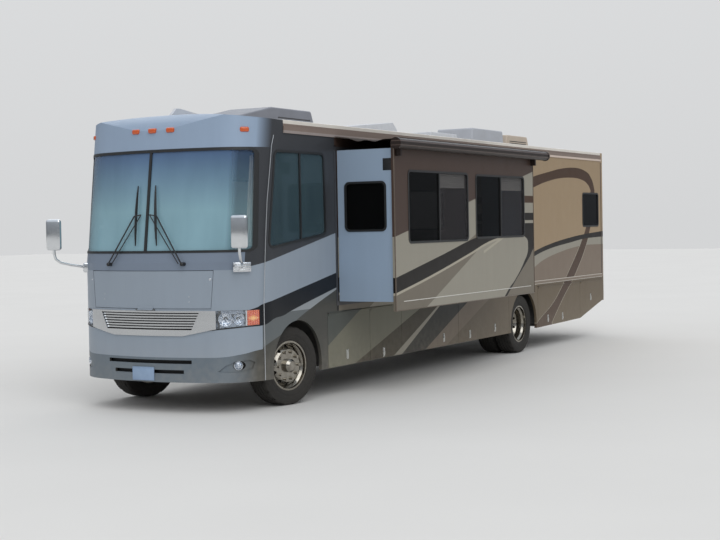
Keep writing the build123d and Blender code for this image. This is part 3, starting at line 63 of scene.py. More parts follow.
def at(x, y, z):
    """A point of the motorhome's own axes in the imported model's frame."""
    return Vector((front_axle_x + x, middle_y + y, z))


# The camera stands off the front left corner, 2.1 m over the ground. It looks back along
# the motorhome, nearly level, and is held about a degree out of upright.
camera_place = at(14.1598, 10.1078, 2.1434)
camera_yaw = math.radians(209.3246)
camera_pitch = math.radians(1.8472)
camera_roll = math.radians(1.0897)
ahead = Vector((
    math.cos(camera_yaw) * math.cos(camera_pitch),
    math.sin(camera_yaw) * math.cos(camera_pitch),
    -math.sin(camera_pitch),
))
level = Vector((math.sin(camera_yaw), -math.cos(camera_yaw), 0))
below = ahead.cross(level)
across = math.cos(camera_roll) * level + math.sin(camera_roll) * below
upright = math.sin(camera_roll) * level - math.cos(camera_roll) * below
bpy.ops.object.camera_add()
camera = bpy.context.object
camera.name = "photo_camera"
camera.data.lens = 69.60
camera.data.sensor_width = 36
camera.data.clip_end = 200
turned = Matrix((across, upright, -ahead)).transposed().to_4x4()
camera.matrix_world = Matrix.Translation(camera_place) @ turned
bpy.context.scene.camera = camera
bpy.context.scene.view_settings.view_transform = "Standard"

# The body shell, bumper, hood, doors and slide-out room: glass fibre in metallic silver,
# taupe and brown, with painted sweeps that run from the nose to the tail on both sides.
# The sweeps are masked and sprayed on the standing coach, so they are given by place.


class Value:
    """A number or colour on its way through a finish; sums on it add nodes."""

    def __init__(self, home, socket):
        self.home = home
        self.socket = socket

    def maths(self, operation, first, second=0.0):
        return self.home.node("ShaderNodeMath", {"operation": operation}, {0: first, 1: second})

    def __add__(self, other):
        return self.maths("ADD", self, other)

    def __radd__(self, other):
        return self.maths("ADD", other, self)

    def __sub__(self, other):
        return self.maths("SUBTRACT", self, other)

    def __rsub__(self, other):
        return self.maths("SUBTRACT", other, self)

    def __mul__(self, other):
        return self.maths("MULTIPLY", self, other)

    def __rmul__(self, other):
        return self.maths("MULTIPLY", other, self)

    def __truediv__(self, other):
        return self.maths("DIVIDE", self, other)

    def __lt__(self, other):
        return self.maths("LESS_THAN", self, other)

    def __gt__(self, other):
        return self.maths("GREATER_THAN", self, other)

    def __and__(self, other):
        return self.maths("MULTIPLY", self, other)

    def __or__(self, other):
        return self.maths("MAXIMUM", self, other)

    def __abs__(self):
        return self.maths("ABSOLUTE", self)

    def at_least(self, least):
        return self.maths("MAXIMUM", self, least)


class Nodes:
    """A tree of nodes that grows as it is written."""

    def __init__(self, tree):
        self.tree = tree

    def node(self, kind, settings, inputs, output=0):
        """Any node: its settings are set first, then the values or links of its sockets."""
        made = self.tree.nodes.new(kind)
        for key, value in settings.items():
            if key == "stops":
                for index, (place, colour) in enumerate(value):
                    made.color_ramp.elements[index].position = place
                    made.color_ramp.elements[index].color = colour
            elif key == "line":
                curve = made.mapping.curves[0]
                for place, height in value[1:-1]:
                    curve.points.new(place, height)
                curve.points[0].location = value[0]
                curve.points[-1].location = value[-1]
                for point in curve.points:
                    point.handle_type = "AUTO_CLAMPED"
                made.mapping.extend = "HORIZONTAL"
                made.mapping.update()
            else:
                setattr(made, key, value)
        for key, value in inputs.items():
            if isinstance(value, Value):
                self.tree.links.new(value.socket, made.inputs[key])
            else:
                made.inputs[key].default_value = value
        return Value(self, made.outputs[output])


class Finish(Nodes):
    """One material: what is constant is set on its shader, and what varies is fed to it."""

    def __init__(self, name, constants):
        self.material = bpy.data.materials.new(name)
        self.material.use_nodes = True
        super().__init__(self.material.node_tree)
        self.shader = self.tree.nodes["Principled BSDF"]
        for socket, value in constants.items():
            self.shader.inputs[socket].default_value = value
        self.spot = self.node("ShaderNodeTexCoord", {}, {}, "Object")

    def feed(self, socket, value):
        """Links a value to a socket of the shader."""
        self.tree.links.new(value.socket, self.shader.inputs[socket])

    def surface(self, colour, roughness, relief=None, depth=0.0):
        """Feeds colour and roughness, and a small relief whose full height is in metres."""
        self.feed("Base Color", colour)
        self.feed("Roughness", roughness)
        if relief is not None:
            bumped = self.node("ShaderNodeBump", {}, {"Height": relief, "Distance": depth})
            self.feed("Normal", bumped)

    def split(self, vector):
        """The three numbers of a vector."""
        return [self.node("ShaderNodeSeparateXYZ", {}, {"Vector": vector}, axis) for axis in "XYZ"]

    def place(self):
        """Where a spot of the surface is, in the motorhome's own axes."""
        return self.split(self.node("ShaderNodeMapping", {}, {
            "Vector": self.spot,
            "Location": (-front_axle_x, -middle_y, 0),
        }))

    def facing(self):
        """Which way the surface looks, as three numbers."""
        return self.split(self.node("ShaderNodeTexCoord", {}, {}, "Normal"))

    def noise(self, scale, detail=3.0, stretch=(1, 1, 1)):
        """Cloudy variation from 0 to 1 whose grain may be stretched along an axis."""
        stretched = self.node("ShaderNodeMapping", {}, {"Vector": self.spot, "Scale": stretch})
        return self.node("ShaderNodeTexNoise", {}, {
            "Vector": stretched,
            "Scale": scale,
            "Detail": detail,
        }, "Fac")

    def waves(self, axis, scale):
        """Even ripples from 0 to 1 that follow one another along an axis."""
        return self.node("ShaderNodeTexWave", {"bands_direction": axis}, {
            "Vector": self.spot,
            "Scale": scale,
        })

    def fade(self, value, none_at, full_at):
        """A share that grows evenly from 0 to 1 between two sizes of a value."""
        return self.node("ShaderNodeMapRange", {}, {0: value, 1: none_at, 2: full_at})

    def mix(self, share, first, second):
        """Two colours blended by a share from 0 to 1."""
        return self.node("ShaderNodeMix", {"data_type": "RGBA"}, {0: share, 6: first, 7: second}, 2)

    def layered(self, base, *layers):
        """A base colour under others, each laid over the last where its mask is 1."""
        for mask, colour in layers:
            base = self.mix(mask, base, colour)
        return base

    def shade(self, colour, share, darkest):
        """A colour multiplied towards its darkest tone where the share is 1."""
        return self.node("ShaderNodeMix", {"data_type": "RGBA", "blend_type": "MULTIPLY"}, {
            0: share,
            6: colour,
            7: darkest,
        }, 2)

    def curve(self, value, points):
        """The height of the smooth line through some points, at a value along it."""
        points = sorted(points)
        first, last = points[0][0], points[-1][0]
        low = min(height for place, height in points)
        high = max(height for place, height in points)
        line = [
            ((place - first) / (last - first), (height - low) / (high - low))
            for place, height in points
        ]
        along = (value - first) / (last - first)
        share = self.node("ShaderNodeFloatCurve", {"line": line}, {"Value": along})
        return share * (high - low) + low


def tone(red, green, blue):
    """A colour of 0 to 255 a channel as the linear colour that a shader takes."""
    linear = []
    for channel in (red, green, blue):
        share = channel / 255
        linear.append(share / 12.92 if share <= 0.04045 else ((share + 0.055) / 1.055) ** 2.4)
    return (*linear, 1.0)


silver = tone(146, 157, 169)
header_silver = tone(146, 164, 186)
under_glass_silver = tone(122, 134, 150)
gunmetal = tone(62, 64, 68)
black_paint = tone(24, 27, 32)
light_silver = tone(150, 156, 160)
fender_silver = tone(100, 106, 108)
fender_taupe = tone(70, 70, 66)
bumper_grey = tone(100, 113, 124)
slide_taupe = tone(74, 59, 52)
slide_light = tone(150, 146, 134)
sweep_dark = tone(22, 16, 11)
thin_light = tone(172, 166, 150)
wedge_taupe = tone(116, 109, 97)
end_silver = tone(150, 169, 190)
tan = tone(160, 139, 111)
stripe_brown = tone(72, 50, 34)
rear_grey = tone(126, 112, 98)
rear_door_brown = tone(104, 91, 72)
bay_light = tone(112, 111, 96)
bay_grey = tone(76, 80, 76)
bay_brown = tone(58, 51, 34)
bay_black = tone(20, 21, 14)
bay_taupe = tone(116, 104, 90)
bay_medium = tone(98, 87, 71)
wall_beige = tone(168, 158, 140)
liner_grey = tone(58, 58, 58)
seal_black = tone(20, 20, 22)
road_dust = tone(190, 182, 168)

paint = Finish("striped_paint", {
    "Metallic": 0.1,
    "Coat Weight": 0.08,
    "Coat Roughness": 0.12,
    "Specular IOR Level": 0.24,
})
x, y, z = paint.place()
face_x, face_y, _ = paint.facing()
half = abs(y)
cap_seam_x = 0.725
cab_end_x = -0.95
belt_z = 1.07

# nose: silver under a rising line, gunmetal over it, a black sweep along the cab
shoulder = (1.866 - 0.196 * x).at_least(1.70)
brow = (z > 3.07) & (x > 0.25) & paint.fade(half, 1.27, 1.19)
under_glass = (z > 1.66) & (z < 1.9) & (x > 0.82) & (half < 1.16)
cab_sweep_top = paint.curve(x, [
    (-1.0, 1.562), (0.5, 1.292), (0.72, 1.252), (0.79, 1.222), (0.88, 1.197),
])
cab_sweep_foot = paint.curve(x, [
    (-1.0, 1.379), (0.156, 1.135), (0.327, 1.093), (0.48, 1.078), (0.72, 1.008), (0.90, 1.0),
])
fender_line = paint.curve(x, [
    (-1.0, 1.36), (-0.63, 1.246), (-0.357, 1.157), (-0.118, 1.076), (0.41, 0.862),
    (0.583, 0.81), (0.74, 0.745),
])
bumper_line = paint.curve(half, [
    (0, 0.655), (0.9, 0.660), (1.1, 0.685), (1.23, 0.725), (1.29, 0.745),
])
bumper_tone = paint.mix(paint.fade(x, 1.08, 0.80), bumper_grey, fender_taupe)
below_sweep = (x < cap_seam_x) & (z < cab_sweep_foot)
nose = paint.layered(
    silver,
    (z > shoulder, gunmetal),
    (brow, header_silver),
    (under_glass, under_glass_silver),
    ((x < 0.88) & (z < cab_sweep_top) & (z > cab_sweep_foot), black_paint),
    (below_sweep, light_silver),
    (below_sweep & (z < 1.135), fender_silver),
    ((x < cap_seam_x) & (z < fender_line), fender_taupe),
    ((x > 0.72) & (z < bumper_line), bumper_tone),
)

# middle: a dark sweep that curls down behind the second window of the slide-out room
sweep_top = paint.curve(x, [
    (-4.354, 2.04), (-3.998, 2.023), (-3.482, 1.961), (-2.21, 1.72), (-0.95, 1.482),
])
sweep_foot = paint.curve(x, [
    (-4.351, 1.954), (-3.818, 1.885), (-3.143, 1.734), (-1.906, 1.471), (-0.95, 1.292),
])
curl_inner = paint.curve(z, [
    (1.07, -4.30), (1.20, -4.50), (1.298, -4.692), (1.55, -5.043), (1.724, -5.205),
    (1.828, -5.209), (1.935, -5.059), (1.977, -4.719), (2.0, -4.3), (2.126, -4.3),
])
curl_outer = paint.curve(z, [
    (1.07, -4.37), (1.20, -4.577), (1.393, -4.885), (1.55, -5.15), (1.632, -5.279),
    (1.724, -5.39), (1.76, -5.46),
])
curl_head_z = 2.126
wedge_x = -2.922
leaf_x = -3.607
leaf_half = 0.018
stripe_x = -5.085
inside_curl = x > curl_inner
under_sweep = (z < sweep_foot - 0.032) & inside_curl
wedge = (z < 1.835 + 0.368 * (wedge_x - x)) & (x < wedge_x) & (z < 2.04)
leaf = (abs(z - (1.736 + 0.2836 * (leaf_x - x))) < leaf_half) & (x < leaf_x) & inside_curl
room_end = (abs(face_x) > 0.7) & (half > 1.3) & (x < -0.976) & (x > -5.415)
middle = paint.layered(
    slide_light,
    (z > 1.795 - 0.203 * x, slide_taupe),
    (wedge, wedge_taupe),
    ((x < stripe_x) & (z > 2.43) & (z < 2.534), stripe_brown),
    ((x < stripe_x) & (z > 2.17) & (z < 2.28), sweep_dark),
    ((z < sweep_top) & inside_curl, sweep_dark),
    ((z < sweep_foot) & inside_curl, thin_light),
    (under_sweep, slide_light),
    (under_sweep & (x > -1.804 - 2.316 * (z - 1.077)), wedge_taupe),
    (leaf, thin_light),
    ((x < curl_inner) & (x > curl_outer) & (z < curl_head_z), sweep_dark),
    (room_end, end_silver),
)

# tail: tan wall, a brown arc that bends down to the skirt, a dark arc along the belt
arc_outer = paint.curve(x, [
    (-10.469, 2.701), (-10.29, 2.928), (-9.978, 3.049), (-9.466, 3.094), (-8.824, 3.065),
    (-8.256, 2.998), (-7.488, 2.893), (-6.5, 2.68), (-5.5, 2.4),
])
arc_inner = paint.curve(x, [
    (-10.254, 2.698), (-10.126, 2.797), (-9.816, 2.883), (-9.359, 2.913), (-8.818, 2.899),
    (-8.249, 2.844), (-7.48, 2.711), (-6.5, 2.47), (-5.5, 2.2),
])
fall_front = paint.curve(z, [
    (0.37, -7.42), (0.449, -7.567), (0.788, -8.402), (1.229, -9.044), (1.798, -9.773),
    (2.0, -9.97), (2.3, -10.17), (2.698, -10.254),
])
fall_rear = paint.curve(z, [
    (0.418, -8.247), (0.769, -8.734), (1.231, -9.443), (1.792, -10.059), (2.0, -10.2),
    (2.3, -10.37), (2.701, -10.469),
])
dark_top = paint.curve(x, [
    (-10.85, 1.946), (-9.933, 1.904), (-9.168, 1.853), (-8.207, 1.758), (-7.4, 1.63),
    (-6.5, 1.40), (-5.5, 1.15),
])
dark_foot = paint.curve(x, [
    (-10.846, 1.843), (-9.929, 1.822), (-9.164, 1.765), (-8.204, 1.681), (-7.4, 1.55),
    (-6.5, 1.29), (-5.5, 1.03),
])
band_foot = paint.curve(x, [
    (-10.952, 1.704), (-10.188, 1.707), (-9.411, 1.679), (-8.671, 1.609), (-7.968, 1.509),
    (-7.4, 1.36), (-6.5, 1.1),
])
outline_width = 0.018
bend_z = 2.70
under_dark = z < dark_foot
low_tone = paint.layered(slide_light, (z < band_foot, rear_grey), (z < 1.097, rear_door_brown))
outlined = under_dark & (x < fall_front + outline_width) & (x > fall_rear - outline_width)
upper_arc = ((z > bend_z) | (x > -9.0)) & (z < arc_outer) & (z > arc_inner)
lower_arc = (z < bend_z + 0.001) & (x < fall_front) & (x > fall_rear)
tail = paint.layered(
    tan,
    (under_dark, low_tone),
    (outlined, thin_light),
    ((upper_arc | lower_arc) & (x > -10.49), stripe_brown),
    ((z < dark_top) & (z > dark_foot), sweep_dark),
)

# storage bay doors: leaning bands that carry the sweeps down to the skirt, each painted
# behind a line through (x, z) that leans forward by a slope as it falls
grey_band = (x > -1.294 - (z - 0.34) * 3.158) & (z > 0.310 - 0.482 * x)
bay = paint.mix(grey_band, bay_light, bay_grey)
for line_x, line_z, slope, colour in (
    (-1.294, 0.340, 3.158, bay_brown), (-2.372, 0.339, 2.317, slide_light),
    (-2.710, 0.381, 2.030, bay_black), (-3.356, 0.354, 2.439, bay_taupe),
    (-4.121, 0.386, 2.615, bay_medium),
):
    bay = paint.mix(x < line_x - (z - line_z) * slope, bay, colour)

tail_starts = -5.45 - 0.8 * (y < 0) * (z - belt_z)
bays = (z < belt_z) & (x < -0.705) & (x > -7.45)
opening_seal = (
    (x < -0.94) & (x > -0.99) & (y > 1.15) & (y < 1.29) & (z > belt_z) & (z < 3.15)
)
looks_in = (face_x * (x - 0.2).at_least(0.0) + face_y * y) < -0.2
bare_back = paint.mix((z < 1.08) | ((z < 1.67) & (x > 1.0)), wall_beige, liner_grey)
low_dust = paint.fade(z, 0.9, 0.35) * paint.noise(14, 5)
coat = paint.layered(
    nose,
    (x < cab_end_x, middle),
    ((x < tail_starts) & (1 - room_end), tail),
    (bays, bay),
    (opening_seal, seal_black),
    (looks_in, bare_back),
)
streaks = paint.noise(9, 4, (1, 1, 0.12))
coat = paint.shade(coat, streaks * 0.22, tone(214, 212, 208))
paint.surface(
    paint.mix(low_dust * 0.28, coat, road_dust),
    0.34 + 0.14 * paint.noise(5, 4) + low_dust * 0.25,
    paint.noise(160, 2), 0.00025,
)


def dress(finish, *names):
    """Gives CAD nodes a finish; their meshes stay as they are."""
    for name in names:
        mesh = nodes[name].data
        mesh.materials.clear()
        mesh.materials.append(finish.material)


bay_doors = [name for name in nodes if name.startswith("bay_door")]
dress(
    paint, "front_cap", "lower_bumper", "hood_panel", "wall_left", "wall_right", "rear_cap",
    "skirt_panels", "slide_box", "entry_door", "rear_hatch", *bay_doors,
)

# The roof: one glass fibre skin, off-white and chalky on top, with an aluminium gutter
# rail along both walls that is painted taupe over a cream lower lip.
roof_paint = Finish("roof_skin", {"Coat Weight": 0.1})
x, y, z = roof_paint.place()
chalk = roof_paint.mix(roof_paint.noise(3, 5), tone(228, 224, 216), tone(206, 201, 192))
lip = roof_paint.mix(roof_paint.fade(x, -1.0, -6.0), tone(150, 140, 136), tone(206, 190, 178))
gutter_rail = roof_paint.mix(z < 3.281, tone(128, 113, 104), lip)
skin = roof_paint.layered(
    chalk,
    ((z < 3.36) & (abs(y) > 1.26), gutter_rail),
    ((x > 0.2) & (z < 3.475) & (abs(y) < 1.245), header_silver),
)
streaks = roof_paint.noise(7, 4, (1, 1, 0.2))
roof_paint.surface(
    roof_paint.shade(skin, streaks * 0.25, tone(200, 194, 184)),
    0.38 + 0.2 * roof_paint.noise(12, 4),
    roof_paint.noise(220, 2), 0.0003,
)
dress(roof_paint, "roof")

# Belt rails and window frames: aluminium rails along the foot of the walls, painted to
# match what they cross, and black frames and rubber pushed over the edges of the shell.


def plain(
    name, colour, second, roughness, metallic=0.0, grain=30.0, relief=0.0003,
    stretch=(1, 1, 1), coat=0.0,
):
    """A finish of one material whose tone, gloss and skin vary a little over the surface."""
    made = Finish(name, {"Metallic": metallic, "Coat Weight": coat})
    cloud = made.noise(grain, 4, stretch)
    gloss = roughness - 0.08 + 0.16 * made.noise(grain * 0.4, 3, stretch)
    made.surface(made.mix(cloud, colour, second), gloss, cloud, relief)
    return made


black_trim = plain("black_trim", tone(26, 27, 28), tone(38, 39, 40), 0.45, grain=60)
dress(black_trim, "window_frames", "slide_frames")
rail_paint = Finish("belt_rail", {"Metallic": 0.2})
x, y, z = rail_paint.place()
highlight_ends_x = -5.6
rail_paint.surface(
    rail_paint.layered(
        rail_paint.mix(rail_paint.noise(25), tone(132, 117, 100), tone(116, 102, 88)),
        # the light lines along the rail's top and bottom edges, behind the slide-out room, are
        # painted highlights
        (((z > 1.146) | (z < 1.104)) & (x < highlight_ends_x), tone(206, 200, 190)),
        (x > highlight_ends_x, tone(66, 67, 70)),
    ),
    0.28 + 0.12 * rail_paint.noise(12),
    rail_paint.noise(80, 2), 0.0002,
)
dress(rail_paint, "side_trim")

# Seam strips: a thin bright aluminium strip, bent to the seam, covers the joint between
# the front cap and each wall, and a darker flat moulding the joint with the rear cap.
bright = plain("bright_strip", tone(205, 208, 210), tone(182, 186, 190), 0.3, 0.6, 40)
brown_seal = plain("brown_seal", tone(84, 70, 62), tone(66, 55, 48), 0.4, 0.0, 60)
sides = ((1, "left"), (-1, "right"))
wall_y = 1.2825
seam_route = [
    (0.727, 0.375), (0.725, 1.303), (0.665, 1.992), (0.615, 2.450), (0.536, 2.863),
    (0.495, 3.093), (0.447, 3.213),
]
strip_radius = 0.0045
moulding_x = (-10.814, -10.786)
moulding_z = (1.100, 3.225)


def pick(part):
    """Makes one object the active one and the only one selected."""
    bpy.ops.object.select_all(action="DESELECT")
    part.select_set(True)
    bpy.context.view_layer.objects.active = part


@contextmanager
def editing():
    """Edit mode on the active object while the block runs."""
    bpy.ops.object.mode_set(mode="EDIT")
    yield
    bpy.ops.object.mode_set(mode="OBJECT")


def block(centre, size, rounding, segments):
    """A block with bevelled edges about a point of the model's frame."""
    bpy.ops.object.select_all(action="DESELECT")
    bpy.ops.mesh.primitive_cube_add(size=1, location=centre, scale=size)
    bpy.ops.object.transform_apply(location=True, rotation=True, scale=True)
    with editing():
        bpy.ops.mesh.select_all(action="SELECT")
        bpy.ops.mesh.bevel(offset=rounding, segments=segments, affect="EDGES")
    return bpy.context.object


def bar(low, high, rounding=0.002, segments=2):
    """A straight bar between two corners, with its edges bevelled."""
    centre = [(near + far) / 2 for near, far in zip(low, high)]
    return block(at(*centre), [far - near for near, far in zip(low, high)], rounding, segments)


def tube(points, radius, sides=12, shares=()):
    """A bent round bar through some points, with closed ends, thinner where a share is low."""
    curve = bpy.data.curves.new("route", "CURVE")
    curve.dimensions = "3D"
    curve.bevel_depth = radius
    curve.bevel_resolution = max(1, sides // 4 - 1)
    curve.use_fill_caps = True
    run = curve.splines.new("POLY")
    run.points.add(len(points) - 1)
    for point, place in zip(run.points, points):
        point.co = (*at(*place), 1)
    for point, share in zip(run.points, shares):
        point.radius = share
    holder = bpy.data.objects.new("route", curve)
    bpy.context.scene.collection.objects.link(holder)
    pick(holder)
    bpy.ops.object.convert(target="MESH")
    return bpy.context.object


def finished(part, name, finish, smooth=40):
    """Names a piece, leaves its place in its mesh and gives it a finish."""
    pick(part)
    bpy.ops.object.transform_apply(location=True, rotation=True, scale=True)
    bpy.ops.object.shade_smooth_by_angle(angle=math.radians(smooth))
    part.name = name
    part.data.name = name
    part.data.materials.clear()
    part.data.materials.append(finish.material)
    return part


def fit(part, name, body, finish, smooth=40):
    """Finishes a piece and hangs it on a body."""
    finished(part, name, finish, smooth)
    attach(part, body)
    return part


for side, name in sides:
    strip = tube([(px, side * (wall_y + 0.0005), pz) for px, pz in seam_route], strip_radius, 8)
    fit(strip, f"seam_strip_{name}", "coach", bright)
    near, far = sorted((side * (wall_y - 0.0015), side * (wall_y + 0.0035)))
    moulding = bar(
        (moulding_x[0], near, moulding_z[0]), (moulding_x[1], far, moulding_z[1]),
    )
    fit(moulding, f"rear_seal_{name}", "coach", brown_seal)

# The glass: a blue-green laminated windshield that darkens to blue along its top, tinted
# side windows that read almost black, and smoked panes in the slide-out room. All are
# set in rubber, and the rear half of each slide-out window is a second, sliding pane.
laminated = Finish("windshield_glass", {
    "Alpha": 0.8, "Coat Weight": 0.5, "Coat Roughness": 0.02, "IOR": 1.5,
    "Specular IOR Level": 0.6,
})
x, y, z = laminated.place()
haze = laminated.noise(1.2, 4, (1, 1.6, 0.5))
pane_tone = laminated.mix(laminated.fade(z, 2.35, 3.02), tone(158, 198, 212), tone(88, 118, 160))
laminated.surface(
    laminated.shade(pane_tone, haze * 0.7, tone(130, 146, 148)),
    0.04 + 0.04 * laminated.noise(8, 3),
)
laminated.feed("Alpha", 0.82 - 0.55 * laminated.fade(y, 0.98, 1.06))
dress(laminated, "windshield")

tinted = Finish("dark_glass", {
    "Alpha": 0.8, "Coat Weight": 0.0, "IOR": 1.45, "Specular IOR Level": 0.22,
})
x, y, z = tinted.place()
pane_tone = tinted.mix(tinted.noise(2, 3), tone(12, 12, 13), tone(22, 22, 23))
cab_tone = tinted.mix(tinted.noise(2.5, 4, (1, 1, 0.5)), tone(40, 56, 66), tone(72, 92, 98))
tinted.surface(
    tinted.mix((x > -0.8) & (x < 0.8), pane_tone, cab_tone),
    0.05 + 0.04 * tinted.noise(9, 3),
)
dress(tinted, "side_glass", "entry_glass")

smoked = Finish("smoked_glass", {
    "Alpha": 0.58, "Coat Weight": 0.0, "IOR": 1.45, "Specular IOR Level": 0.2,
})
x, y, z = smoked.place()
sliding_panes = ((x < -2.22) & (x > -3.112)) | (x < -4.22)
pane_tone = smoked.mix(smoked.noise(2, 3), tone(8, 8, 9), tone(16, 16, 17))
smoked.surface(
    smoked.mix(sliding_panes, pane_tone, tone(64, 62, 64)),
    0.05 + 0.04 * smoked.noise(9, 3),
)
smoked.feed("Alpha", 0.62 - 0.22 * sliding_panes)
dress(smoked, "slide_glass")

# Running gear: painted steel frame and axles, cast engine block and knuckles, and bright
# steel tie rod and hinge pins, all under a film of dust.
frame_black = plain("frame_black", tone(34, 34, 35), tone(58, 54, 50), 0.6, 0.2, 14, 0.0006)
cast_iron = plain("cast_iron", tone(64, 62, 60), tone(92, 80, 68), 0.62, 0.5, 40, 0.0008)
bare_steel = plain("bare_steel", tone(128, 126, 124), tone(104, 100, 96), 0.42, 0.8, 60)
dress(frame_black, "chassis_frame", "front_axle", "rear_axle")
dress(cast_iron, "engine_block", "knuckle_left", "knuckle_right")
dress(bare_steel, "tie_rod", "hinge_pins")

# Tyres: heavy rubber spun from one cross-section, with four grooves round the tread, cut
# shoulder blocks, a rim guard and raised rings on the sidewall. The front ones stand
# turned as parked, and the rear ones are twins.
rubber = Finish("tyre_rubber", {"Specular IOR Level": 0.35})
dusty = rubber.mix(rubber.noise(6, 5), tone(27, 27, 27), tone(47, 45, 42))
rubber.surface(
    rubber.mix(rubber.noise(70, 3) * 0.3, dusty, tone(82, 78, 72)),
    0.66 + 0.2 * rubber.noise(20, 3),
    rubber.noise(120, 3), 0.0006,
)
tyre_steps = 64
tread_radius = 0.474
groove_top = 0.4735
groove_foot = 0.4625
block_cut = 0.009

# outlines by (across the tyre, radius)
tread_run = [(-0.112, 0.470), (-0.082, 0.472)]
for groove in (-0.076, -0.027, 0.021, 0.070):
    tread_run += [
        (groove, groove_top), (groove + 0.001, groove_foot),
        (groove + 0.007, groove_foot), (groove + 0.008, groove_top),
    ]
tread_run += [(0.084, 0.472), (0.112, 0.470)]
outer_side = [
    (0.127, 0.459), (0.134, 0.436), (0.138, 0.405), (0.1385, 0.385), (0.1375, 0.372),
    (0.1355, 0.370), (0.1345, 0.352), (0.1365, 0.350), (0.135, 0.340), (0.131, 0.322),
    (0.127, 0.308), (0.121, 0.3015), (0.108, 0.300),
]
inner_run = [(0.098, 0.3), (0.094, 0.34), (0.0, 0.352), (-0.094, 0.34), (-0.098, 0.3)]
far_side = [(-out, radius) for out, radius in reversed(outer_side)]


def lathe(points, steps, closed=False):
    """A form spun about the y axis at the origin from (along, radius) points: a ring where
    the outline is closed, and otherwise a solid whose outline starts and ends on the axis."""
    bpy.ops.object.select_all(action="DESELECT")
    along, radius = points[0]
    bpy.ops.mesh.primitive_plane_add(size=0.001, location=(0, along, radius))
    bpy.ops.object.transform_apply(location=True, rotation=True, scale=True)
    with editing():
        bpy.ops.mesh.select_mode(type="VERT")
        bpy.ops.mesh.select_all(action="SELECT")
        bpy.ops.mesh.merge(type="CENTER")
        for next_along, next_radius in points[1:] + ([points[0]] if closed else []):
            bpy.ops.mesh.extrude_region_move(TRANSFORM_OT_translate={
                "value": (0, next_along - along, next_radius - radius),
            })
            along, radius = next_along, next_radius
        bpy.ops.mesh.select_all(action="SELECT")
        bpy.ops.mesh.spin(steps=steps, angle=math.tau, center=(0, 0, 0), axis=(0, 1, 0))
        bpy.ops.mesh.select_all(action="SELECT")
        bpy.ops.mesh.remove_doubles(threshold=0.0003)
        bpy.ops.mesh.normals_make_consistent(inside=False)
    return bpy.context.object


def copied(part):
    """A copy of a piece with its own mesh."""
    twin = part.copy()
    twin.data = part.data.copy()
    bpy.context.scene.collection.objects.link(twin)
    return twin


def put(part, place, turn=0.0):
    """Moves a piece that was made at the origin to its place and leaves the place in its mesh."""
    shift = Matrix.Translation(at(*place)) @ Matrix.Rotation(math.radians(turn), 4, "Z")
    part.data.transform(shift)
    return part


def joined(parts):
    """Several meshes made one piece."""
    pick(parts[0])
    for part in parts[1:]:
        part.select_set(True)
    if len(parts) > 1:
        bpy.ops.object.join()
    return parts[0]


master_tyre = lathe(far_side + tread_run + outer_side + inner_run, tyre_steps, closed=True)
with editing():
    bpy.ops.mesh.select_mode(type="FACE")
    bpy.ops.mesh.select_all(action="DESELECT")
for polygon in master_tyre.data.polygons:
    spot = polygon.center
    round_step = int((math.atan2(spot.x, spot.z) + math.pi) / math.tau * tyre_steps)
    outward = math.hypot(spot.x, spot.z)
    on_shoulder = 0.084 < abs(spot.y) < 0.127 and outward > 0.455
    polygon.select = on_shoulder and round_step % 3 == 0
with editing():
    bpy.ops.mesh.extrude_region_shrink_fatten(TRANSFORM_OT_shrink_fatten={"value": -block_cut})
    bpy.ops.mesh.select_all(action="SELECT")
    bpy.ops.mesh.normals_make_consistent(inside=False)

rest_turn = -12
kingpin_y = 0.930
wheel_out = 0.147
rear_axle_x = -7.010
twin_out = 1.077
twin_in = 0.763
parked = math.radians(rest_turn)
for side, name in sides:
    front = put(copied(master_tyre), (
        -side * wheel_out * math.sin(parked),
        side * (kingpin_y + wheel_out * math.cos(parked)),
        tread_radius,
    ), rest_turn)
    fit(front, f"tyre_tread_front_{name}", f"wheel_front_{name}", rubber, 30)
    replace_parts(front, f"tyre_front_{name}")
    rear = joined([
        put(copied(master_tyre), (rear_axle_x, side * out, tread_radius))
        for out in (twin_out, twin_in)
    ])
    fit(rear, f"tyre_tread_rear_{name}", f"wheels_rear_{name}", rubber, 30)
    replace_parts(rear, f"tyres_rear_{name}")
bpy.data.objects.remove(master_tyre)

# Wheels: bright stainless liners over steel discs, with hand holes and domed lug covers.
# They are polished by hand, so the gloss is uneven, and the darker gold-grey patches in their
# colour are painted reflection of dark surroundings.
wheel_chrome = Finish("wheel_chrome", {"Metallic": 0.95})
# darker gold-grey patches: painted reflection of dark surroundings
painted_reflection_patches = wheel_chrome.noise(18, 4)
wheel_chrome.surface(
    wheel_chrome.mix(painted_reflection_patches, tone(176, 172, 164), tone(116, 110, 98)),
    0.10 + 0.14 * wheel_chrome.noise(9, 4),
    wheel_chrome.noise(40, 3), 0.0001,
)
dress(wheel_chrome, "rim_front_left", "rim_front_right", "rims_rear_left", "rims_rear_right")

# Headlamps: a clear moulded cover over two chrome bowls in a bright housing, with the amber
# turn lamp at the outer end; they fill the band beside the grille and follow the corner.
# A thin black strip along the joint with the bumper below is painted shadow in the gap there.
lens = Finish("clear_lens", {
    "Alpha": 0.07, "Coat Weight": 0.3, "Coat Roughness": 0.02, "Specular IOR Level": 0.5,
})
flutes = lens.waves("Y", 16.0)
lens.surface(
    lens.mix(flutes, tone(206, 214, 220), tone(232, 238, 242)), 0.04 + 0.05 * flutes,
    flutes, 0.0004,
)
mirror_chrome = plain(
    "mirror_chrome", tone(226, 228, 230), tone(206, 209, 212), 0.16, 0.95, 12, 0.0001,
)
lamp_chrome = Finish("lamp_chrome", {"Metallic": 0.75})
facets = {"Vector": lamp_chrome.spot, "Scale": 62.0}
hollows = lamp_chrome.node("ShaderNodeTexVoronoi", {}, facets, "Distance")
cells = lamp_chrome.node("ShaderNodeTexVoronoi", {}, facets, "Color")
